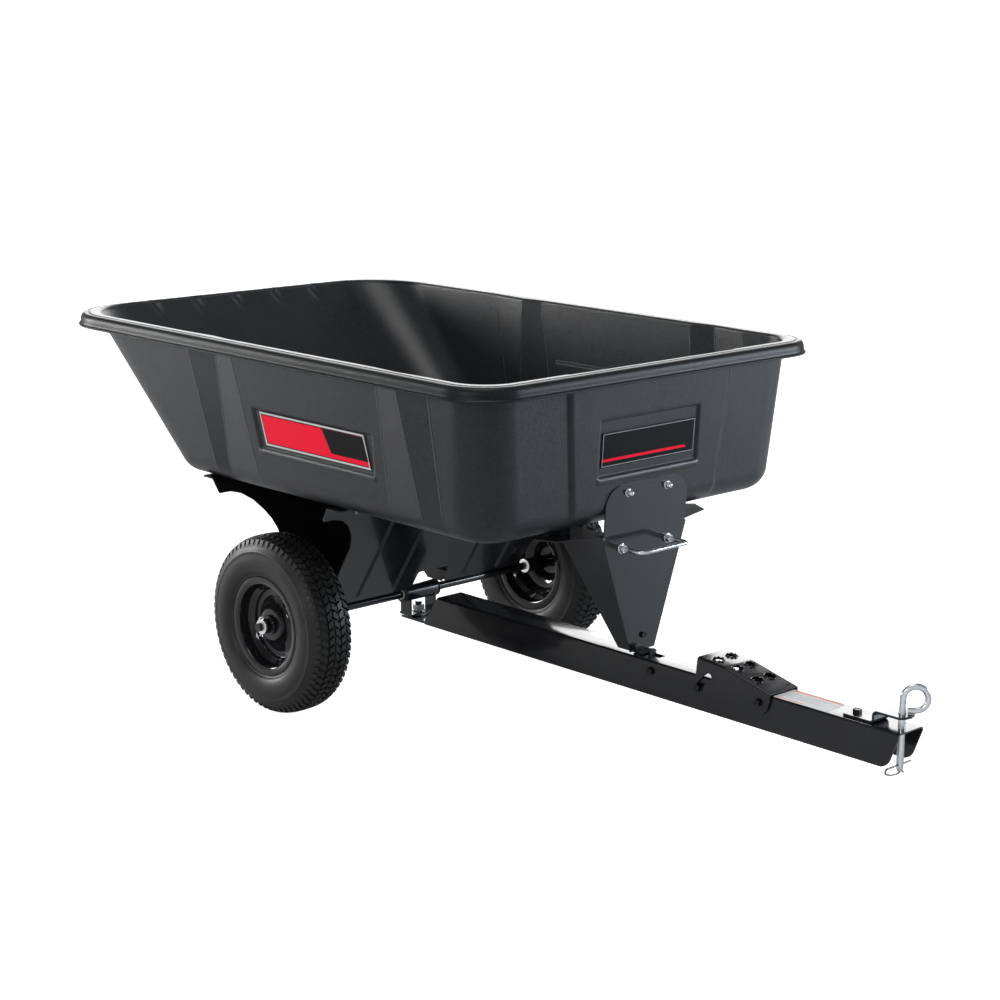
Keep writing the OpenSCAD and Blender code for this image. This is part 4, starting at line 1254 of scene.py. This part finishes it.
def tongue():
    half, top, low = BEAM_HI.y, BEAM_HI.z, BEAM_LO.z
    bm = bmesh.new()
    section = channel_section(half, top, low, SHEET, 5.5)
    prism(bm, section, at(BEAM_LO.x, 0, 0) @ YZ_TO_X, BEAM_HI.x - BEAM_LO.x)
    o = piece("tongue_channel", bm, BLACK, "tongue", ["tongue_beam"], bevel=0.5, angle=40)
    x1 = BEAM_HI.x
    nose = [(x1 + 30, top + 20), (x1 - 1, top + 20), (x1 - 1, top - 9), (x1 - 26, low - 0.3),
            (x1 - 90, low - 0.3), (x1 - 90, low - 20), (x1 + 30, low - 20)]
    front = rounded(nose, [0, 0, 20, 28, 0, 0, 0], 8)
    rear = [(40, low - 10), (66, low - 10), (66, low + 8), (115, top + 6), (40, top + 6)]
    cross = box_mm("cross_bolt")[2]
    pivot = box_mm("pedal_pivot_bolt")[2]
    cam = box_mm("cam_bolt")[2]
    hook_lo, hook_hi, _ = box_mm("latch_hook")
    strap = box_mm("strap_bolt")[2]
    pin = box_mm("hitch_clip")[2]

    def shapes(b):
        prism(b, front, at(0, 90, 0) @ XZ_TO_Y, 180)
        prism(b, rear, at(0, 90, 0) @ XZ_TO_Y, 180)
        for p in (cross, pivot):
            drum(b, at(p.x, -60, p.z) @ TO_Y, BOLT_HOLE, 120)
        slot = [(cam.x - 5.1, cam.z - 5.1), (cam.x + LATCH_TRAVEL + 5.1, cam.z - 5.1),
                (cam.x + LATCH_TRAVEL + 5.1, cam.z + 5.1), (cam.x - 5.1, cam.z + 5.1)]
        prism(b, rounded(slot, BOLT_HOLE, 10), at(0, 60, 0) @ XZ_TO_Y, 120)
        drum(b, at(strap.x, 0, top - 10), 5.3, 20)
        drum(b, at(pin.x, 0, top - 10), PIN_R + 0.3, 20)
        window = [(hook_lo.x - 3, hook_lo.y - 3), (hook_hi.x + LATCH_TRAVEL + 1, hook_lo.y - 3),
                  (hook_hi.x + LATCH_TRAVEL + 1, hook_hi.y + 3), (hook_lo.x - 3, hook_hi.y + 3)]
        prism(b, rounded(window, 4, 5), at(0, 0, top - 10), 20)

    cut(o, shapes)


tongue()


def hitch_strap():
    lo, hi, _ = box_mm("hitch_strap")
    t = 5.0
    pin_x = box_mm("hitch_clip")[2].x
    bolt_x = box_mm("strap_bolt")[2].x
    riser = pin_x - 48 - t
    x0 = lo.x + 12
    outer = [(x0, lo.z), (riser + t, lo.z), (riser + t, hi.z - t), (hi.x, hi.z - t), (hi.x, hi.z),
             (riser, hi.z), (riser, lo.z + t), (x0, lo.z + t)]
    section = rounded(outer, [0, 9, 6, 0, 0, 11, 5, 0], 7)
    bm = bmesh.new()
    prism(bm, section, at(0, hi.y, 0) @ XZ_TO_Y, hi.y - lo.y)
    o = piece("hitch_strap_bar", bm, BLACK, "tongue", ["hitch_strap"], bevel=0.7, angle=40)

    def shapes(b):
        nose = [(hi.x - 14, hi.y + 5), (hi.x - 10, hi.y), (hi.x - 3, hi.y - 11), (hi.x, hi.y - 25),
                (hi.x, lo.y + 25), (hi.x - 3, lo.y + 11), (hi.x - 10, lo.y), (hi.x - 14, lo.y - 5),
                (hi.x + 9, lo.y - 5), (hi.x + 9, hi.y + 5)]
        prism(b, nose, at(0, 0, lo.z - 5), 50)
        drum(b, at(bolt_x, 0, lo.z - 5), 5.3, 15)
        drum(b, at(pin_x, 0, lo.z - 5), PIN_R + 0.3, 50)

    cut(o, shapes)


hitch_strap()


def hitch_pin():
    lo, hi, _ = box_mm("hitch_pin")
    pin_x = box_mm("hitch_clip")[2].x
    r = 6.35
    ring_r = 24.0
    diagonal = math.sqrt(0.5)
    ex, ey, ez = Vector((diagonal, diagonal, 0)), Vector((-diagonal, diagonal, 0)), Vector((0, 0, 1))
    c = Vector((pin_x, 0, hi.z - ring_r - r)) + ex * ring_r
    path = [(pin_x, 0, z) for z in (lo.z, lo.z + 1.8, lo.z + 9, c.z - 30, c.z - 20, c.z - 12)]
    path += arc(c, ex, ez, ring_r, 180, 30, 26)
    radii = [PIN_R - 2.6, PIN_R - 1.4, PIN_R, PIN_R]
    radii += [r] * (len(path) - len(radii))
    bm = bmesh.new()
    sweep(bm, path, radii, 28)
    # the eye closes below: a second bend of the same rod lies against the shank
    loop = arc(c, ex, ez, ring_r, 64, -70, 24)
    loop += [Vector((c.x, c.y, c.z - ring_r)) - ex * (k * 3.6) for k in range(1, 5)]
    loop = [p - ey * (1.4 * smooth(0, 12, i)) for i, p in enumerate(loop)]
    sweep(bm, loop, r - 0.25, 28)
    piece("hitch_pin_rod", bm, BRIGHT_ZINC_GLOWING, "pin", ["hitch_pin"], angle=40)


def flowing(path, steps):
    """Smooth curve through every point of a path."""
    pts = [Vector(p) for p in path]
    out = []
    for i in range(len(pts) - 1):
        p0, p1, p2, p3 = pts[max(0, i - 1)], pts[i], pts[i + 1], pts[min(len(pts) - 1, i + 2)]
        for t in [k / steps for k in range(steps)]:
            out.append(0.5 * ((2 * p1) + (p2 - p0) * t + (2 * p0 - 5 * p1 + 4 * p2 - p3) * t * t
                              + (3 * p1 - p0 - 3 * p2 + p3) * t ** 3))
    return out + [pts[-1]]


def hitch_clip():
    _, hi, mid = box_mm("hitch_clip")
    x = mid.x
    r = 1.8
    z = hi.z - r
    drop = 17.0
    path = [(x, hi.y, z), (x, 14, z), (x, -20, z), (x, -38, z)]
    path += arc((x, -40, z - 5.5), (0, 1, 0), (0, 0, 1), 5.5, 90, 235, 10)
    tail = z - drop
    path += [(x, -36, z - 12.5), (x, -27, z - 15.4), (x, -18, tail + 0.6), (x, -10, tail),
             (x, -3, tail + 1.0), (x, 3.5, tail + 3.6), (x, 8, tail + 2.4), (x, 12, tail - 1.2)]
    bm = bmesh.new()
    sweep(bm, flowing(path, 6), r, 14)
    piece("hitch_clip_wire", bm, WIRE, "clip", ["hitch_clip"], angle=60)


hitch_pin()
hitch_clip()


# ---- Pedal ----------------------------------------------------------------------------------

# Grip holes: their radius, and their places on the pedal's top.
GRIP_R = 11.5
GRIPS = [(x, y) for x in (955, 1007, 1059) for y in (-20, 20)]
# How far the cam slot drives the latch, in mm per radian of the pedal's turn.
CAM_RATE = 124.0
# Half the width of the cam slot.
SLOT_R = 8.0


# Height of the pedal's top along X: its rear end, the bend, and its front end.
PEDAL_REAR, PEDAL_BEND, PEDAL_FRONT = (918, 256), (990, 250), (1112, 221)
PEDAL_PIVOT, CAM = box_mm("pedal_pivot_bolt")[2], box_mm("cam_bolt")[2]


def fall(a, b):
    """Slope down from one (x, height) to the next."""
    return (a[1] - b[1]) / (b[0] - a[0])


def pedal_top(x):
    if x > PEDAL_BEND[0]:
        return PEDAL_BEND[1] - (x - PEDAL_BEND[0]) * fall(PEDAL_BEND, PEDAL_FRONT)
    return lerp(PEDAL_REAR[1], PEDAL_BEND[1], (x - PEDAL_REAR[0]) / (PEDAL_BEND[0] - PEDAL_REAR[0]))


def pedal_sheet():
    """Bent sheet as a strip of channel sections."""
    xs = [911, 914, 918, 930, 950, 970, 980, 986, 990, 994, 1000, 1020, 1050, 1080, 1100, 1112]
    half = box_mm("pedal")[1].y
    bm = bmesh.new()
    rings = []
    for x in xs:
        section = channel_section(half, pedal_top(x), 160, SHEET, 5.0)
        rings.append([bm.verts.new((x, y, z)) for y, z in section])
    for a, b in zip(rings, rings[1:]):
        bridge(bm, a, b)
    bm.faces.new(rings[0])
    bm.faces.new(rings[-1])
    return bm


def slot_at(degrees):
    """Where the cam bolt's middle lies in the pedal at rest, for a turn of the pedal."""
    x, z = CAM.x + CAM_RATE * math.radians(degrees) - PEDAL_PIVOT.x, CAM.z - PEDAL_PIVOT.z
    c, s = math.cos(math.radians(degrees)), math.sin(math.radians(degrees))
    return Vector((PEDAL_PIVOT.x + x * c + z * s, PEDAL_PIVOT.z - x * s + z * c))


def cam_slot():
    """Outline of the slot that the cam bolt runs in, half a degree past its range at both ends."""
    line = [slot_at(lerp(-0.5, 12.5, k / 8)) for k in range(9)]
    left, right = [], []
    for k in range(9):
        d = (line[min(8, k + 1)] - line[max(0, k - 1)]).normalized()
        across = Vector((-d.y, d.x)) * SLOT_R
        left.append(line[k] + across)
        right.append(line[k] - across)

    def cap(centre, start):
        return [centre + turned(start - centre, -math.pi * k / 8) for k in range(1, 8)]

    return left + cap(line[8], left[8]) + right[::-1] + cap(line[0], right[0])


def pedal():
    o = piece("pedal_channel", pedal_sheet(), BLACK, "pedal", ["pedal"], bevel=0.5, angle=40)
    side = rounded([(911, 172), (919.5, 270), (900, 300), (880, 300), (880, 140), (1140, 140), (1140, 212),
                    (1112, 212), (1112, 205), (1104, 184), (1090, 172), (1075, 169)],
                   [10, 0, 0, 0, 0, 0, 0, 0, 6, 14, 14, 0], 6)

    def shapes(b):
        prism(b, side, at(0, 90, 0) @ XZ_TO_Y, 180)
        prism(b, cam_slot(), at(0, 70, 0) @ XZ_TO_Y, 140)
        drum(b, at(PEDAL_PIVOT.x, -70, PEDAL_PIVOT.z) @ TO_Y, BOLT_HOLE, 140)
        for x, y in GRIPS:
            drum(b, at(x, y, pedal_top(x) - 12), GRIP_R + 0.2, 24)
        for s in (-1, 1):
            drum(b, at(1100, s * 30, 205), 2.8, 30, 24)

    cut(o, shapes)


def grip_collars():
    """Raised collars with teeth round the grip holes."""
    bm = bmesh.new()
    teeth = 8
    n = teeth * 6
    profile = ((14.4, 0.7), (13.2, 1.5), (12.5, 2.8), (12.2, 4.6), (11.2, 4.6), (GRIP_R, -2.4))
    for x, y in GRIPS:
        slope = fall(PEDAL_BEND, PEDAL_FRONT) if x > PEDAL_BEND[0] else fall(PEDAL_REAR, PEDAL_BEND)
        m = at(x, y, pedal_top(x) - 1.0) @ turn("Y", math.degrees(math.atan(slope)))
        rows = []
        for radius, height in profile:
            row = []
            for i in range(n):
                a = TAU * i / n
                tooth = 0.5 + 0.5 * math.cos(teeth * a)
                h = height if height < 2.5 else height - 2.4 * (1 - tooth) * (height / 4.6)
                row.append(bm.verts.new(m @ Vector((radius * math.cos(a), radius * math.sin(a), h))))
            rows.append(row)
        for a, b in zip(rows, rows[1:]):
            bridge(bm, a, b)
    piece("pedal_grip_collars", bm, BLACK, "pedal", angle=50)


pedal()
grip_collars()


# ---- Spring, split pins, label ----------------------------------------------------------------

def return_spring():
    lo, hi, mid = box_mm("return_spring")
    r = 1.2
    coil = (hi.z - lo.z) / 2 - r
    turns = 9
    x0, x1 = lo.x + r, hi.x - r
    path = []
    steps = turns * 24
    for i in range(steps + 1):
        t = i / steps
        a = TAU * turns * t
        x = lerp(x0, x1, min(1, max(0, (t - 0.06) / 0.88)))
        path.append((x, coil * math.cos(a), mid.z + coil * math.sin(a)))
    bm = bmesh.new()
    sweep(bm, path, r, 12)
    piece("return_spring_coil", bm, ZINC, "tongue", ["return_spring"], angle=60)


def split_pins():
    y_pin = box_mm("cotter_pins")[1].y - 6.6
    bm = bmesh.new()
    for s in (-1, 1):
        y = s * y_pin
        for side in (-0.55, 0.55):
            path = [(side * 1.9, y, AXLE_Z + 12), (side * 1.9, y, AXLE_Z - 11),
                    (side * 4.5, y + s * 0.4, AXLE_Z - 17), (side * 9, y + s * 1.0, AXLE_Z - 22)]
            sweep(bm, path, 1.05, 12)
        loop = arc((0, y, AXLE_Z + 17.2), (0, 1, 0), (0, 0, 1), 5.0, -80, 260, 22)
        sweep(bm, loop, 1.5, 12)
    piece("axle_split_pins", bm, HUB_ZINC, "swivel", ["cotter_pins"], angle=60)


def tongue_label():
    lo, hi, mid = box_mm("tongue_label")
    z = lo.z
    w, h = (hi.x - lo.x) / 2, (hi.y - lo.y) / 2
    bm = bmesh.new()
    base = at(mid.x, 0, z + 0.05)
    prism(bm, rounded([(-w, -h), (w, -h), (w, h), (-w, h)], 3, 4), base, 0.2, 0)
    bars = [(ORANGE, -w + 6, w - 6, h - 10, h - 3), (ORANGE, -w + 6, w - 60, -h + 5, -h + 8)]
    for k in range(5):
        bars.append((GREY_INK, -w + 10, w - 22 - 9 * (k % 3), h - 19 - 7 * k, h - 17.4 - 7 * k))
    mats = [WHITE]
    for i, (material, x0, x1, y0, y1) in enumerate(bars):
        mats.append(material)
        prism(bm, [(x0, y0), (x1, y0), (x1, y1), (x0, y1)], base @ at(0, 0, 0.16), 0.14, i + 1)
    piece("tongue_sticker", bm, None, "tongue", ["tongue_label"], mats=mats)


return_spring()
split_pins()
tongue_label()


# ---- CAD nodes that stay: finish, painted shade and softened edges ----------------------------

# the latch hook, latch striker and saddle tabs take SHADE: painted shade
FINISH_AND_SHADE = {
    "kingpin_nut": ZINC, "pivot_spacer": ZINC, "latch_bar": BLACK_ZINC, "latch_hook": SHADE,
    "axle_washers": HUB_ZINC, "latch_striker": SHADE, "handle_washers": BRIGHT_ZINC_GLOWING, "saddle_tabs": SHADE,
}
SLOT_OF = {s["node"]: s["material_slot"] for s in frame["record"]["subparts"]}
for node, o in frame["nodes"].items():
    if o.hide_render:
        continue
    material = FINISH_AND_SHADE.get(node, SLOT_MATERIAL[SLOT_OF[node]])
    if not o.material_slots:
        o.data.materials.append(material)
    for s in o.material_slots:
        s.link = "OBJECT"
        s.material = material
    weld = o.modifiers.new("join", "WELD")
    weld.merge_threshold = 0.00002
    soft = o.modifiers.new("soften", "BEVEL")
    soft.width = 0.0007
    soft.segments = 2
    soft.limit_method = "ANGLE"
    soft.angle_limit = math.radians(35)
    soft.use_clamp_overlap = True
    normals = o.modifiers.new("normals", "WEIGHTED_NORMAL")
    normals.keep_sharp = False


# ---- Stage, light and camera --------------------------------------------------------------------

FLOOR_ALBEDO = (0.72, 0.72, 0.73)
FLOOR_GLOW = 0.92


def stage_floor():
    """Pale floor; what the camera sees is lifted so that the dark floor's reflections stay deep."""
    bm = bmesh.new()
    size = 60000
    n = 8
    places = [lerp(-size, size, i / n) for i in range(n + 1)]
    verts = [[bm.verts.new((x, y, 0)) for y in places] for x in places]
    for i in range(n):
        for j in range(n):
            bm.faces.new((verts[i][j], verts[i + 1][j], verts[i + 1][j + 1], verts[i][j + 1]))
    me = to_mesh("studio_floor", bm)
    m = Nodes("studio_floor")
    m.set(Base_Color=FLOOR_ALBEDO, Roughness=0.6)
    glow = m.new("Emission", Strength=FLOOR_GLOW)
    lift, path, mix = m.new("AddShader"), m.new("LightPath"), m.new("MixShader")
    m.link(m.bsdf.outputs[0], lift.inputs[0])
    m.link(glow.outputs[0], lift.inputs[1])
    m.link(path.outputs["Is Camera Ray"], mix.inputs[0])
    m.link(m.bsdf.outputs[0], mix.inputs[1])
    m.link(lift.outputs[0], mix.inputs[2])
    m.link(mix.outputs[0], m.out.inputs[0])
    me.materials.append(m.mat)
    o = to_scene("studio_floor", me)
    o.location.z = -0.0005


def area_light(name, place, aim, width, height, power, colour=(1, 1, 1)):
    data = bpy.data.lights.new(name, "AREA")
    data.shape = "RECTANGLE"
    data.size, data.size_y = width, height
    data.energy = power
    data.color = colour
    o = to_scene(name, data)
    o.location = place
    o.rotation_euler = (Vector(aim) - Vector(place)).to_track_quat("-Z", "Y").to_euler()
    o.visible_camera = False


WORLD_LOW, WORLD_HIGH = 0.42, 0.08


def world():
    w = bpy.data.worlds.new("studio")
    bpy.context.scene.world = w
    w.use_nodes = True
    t = w.node_tree
    t.nodes.clear()
    out = t.nodes.new("ShaderNodeOutputWorld")
    seen = t.nodes.new("ShaderNodeBackground")
    lit = t.nodes.new("ShaderNodeBackground")
    path = t.nodes.new("ShaderNodeLightPath")
    mix = t.nodes.new("ShaderNodeMixShader")
    seen.inputs[0].default_value = (1, 1, 1, 1)
    seen.inputs[1].default_value = 1.0
    lit.inputs[0].default_value = (0.95, 0.975, 1.0, 1)
    coord = t.nodes.new("ShaderNodeTexCoord")
    split = t.nodes.new("ShaderNodeSeparateXYZ")
    fade = t.nodes.new("ShaderNodeMapRange")
    fade.inputs["From Max"].default_value = 0.9
    fade.inputs["To Min"].default_value = WORLD_LOW
    fade.inputs["To Max"].default_value = WORLD_HIGH
    t.links.new(coord.outputs["Generated"], split.inputs[0])
    t.links.new(split.outputs["Z"], fade.inputs["Value"])
    t.links.new(fade.outputs[0], lit.inputs[1])
    t.links.new(path.outputs["Is Camera Ray"], mix.inputs[0])
    t.links.new(lit.outputs[0], mix.inputs[1])
    t.links.new(seen.outputs[0], mix.inputs[2])
    t.links.new(mix.outputs[0], out.inputs[0])


CAM_AZ, CAM_EL, CAM_ROLL = 46.60, 12.86, 0.42
CAM_SHIFT_X, CAM_SHIFT_Y, CAM_DISTANCE = 0.19439, 0.41154, 5.26024
CAM_LENS = 79.364


def camera():
    a, e, r = (math.radians(v) for v in (CAM_AZ, CAM_EL, CAM_ROLL))
    back = Vector((math.sin(a) * math.cos(e), -math.cos(a) * math.cos(e), math.sin(e)))
    right = Vector((math.cos(a), math.sin(a), 0))
    up = back.cross(right)
    x = right * math.cos(r) + up * math.sin(r)
    y = up * math.cos(r) - right * math.sin(r)
    data = bpy.data.cameras.new("camera")
    data.sensor_width = 36.0
    data.lens = CAM_LENS
    data.clip_end = 100
    o = to_scene("camera", data)
    m = Matrix((x, y, back)).transposed().to_4x4()
    m.translation = x * CAM_SHIFT_X + y * CAM_SHIFT_Y + back * CAM_DISTANCE
    o.matrix_world = m
    bpy.context.scene.camera = o


stage_floor()
world()
camera()
area_light("top_box", (0.6, -0.6, 4.4), (0.3, 0, 0.4), 2.2, 2.2, 45)
area_light("left_box", (-5.2, -2.5, 1.5), (0.0, -0.4, 0.5), 1.6, 1.8, 150)
area_light("key_box", (1.8, -5.6, 2.6), (0.2, 0, 0.5), 1.4, 1.2, 45)
area_light("right_box", (3.5, 4.4, 1.5), (0.7, 0, 0.5), 1.6, 1.8, 150, (0.8, 0.9, 1.0))
area_light("back_box", (-5.3, 5.1, 2.6), (0.2, 0, 0.5), 6.0, 4.0, 240)
bpy.context.scene.view_settings.view_transform = "Standard"
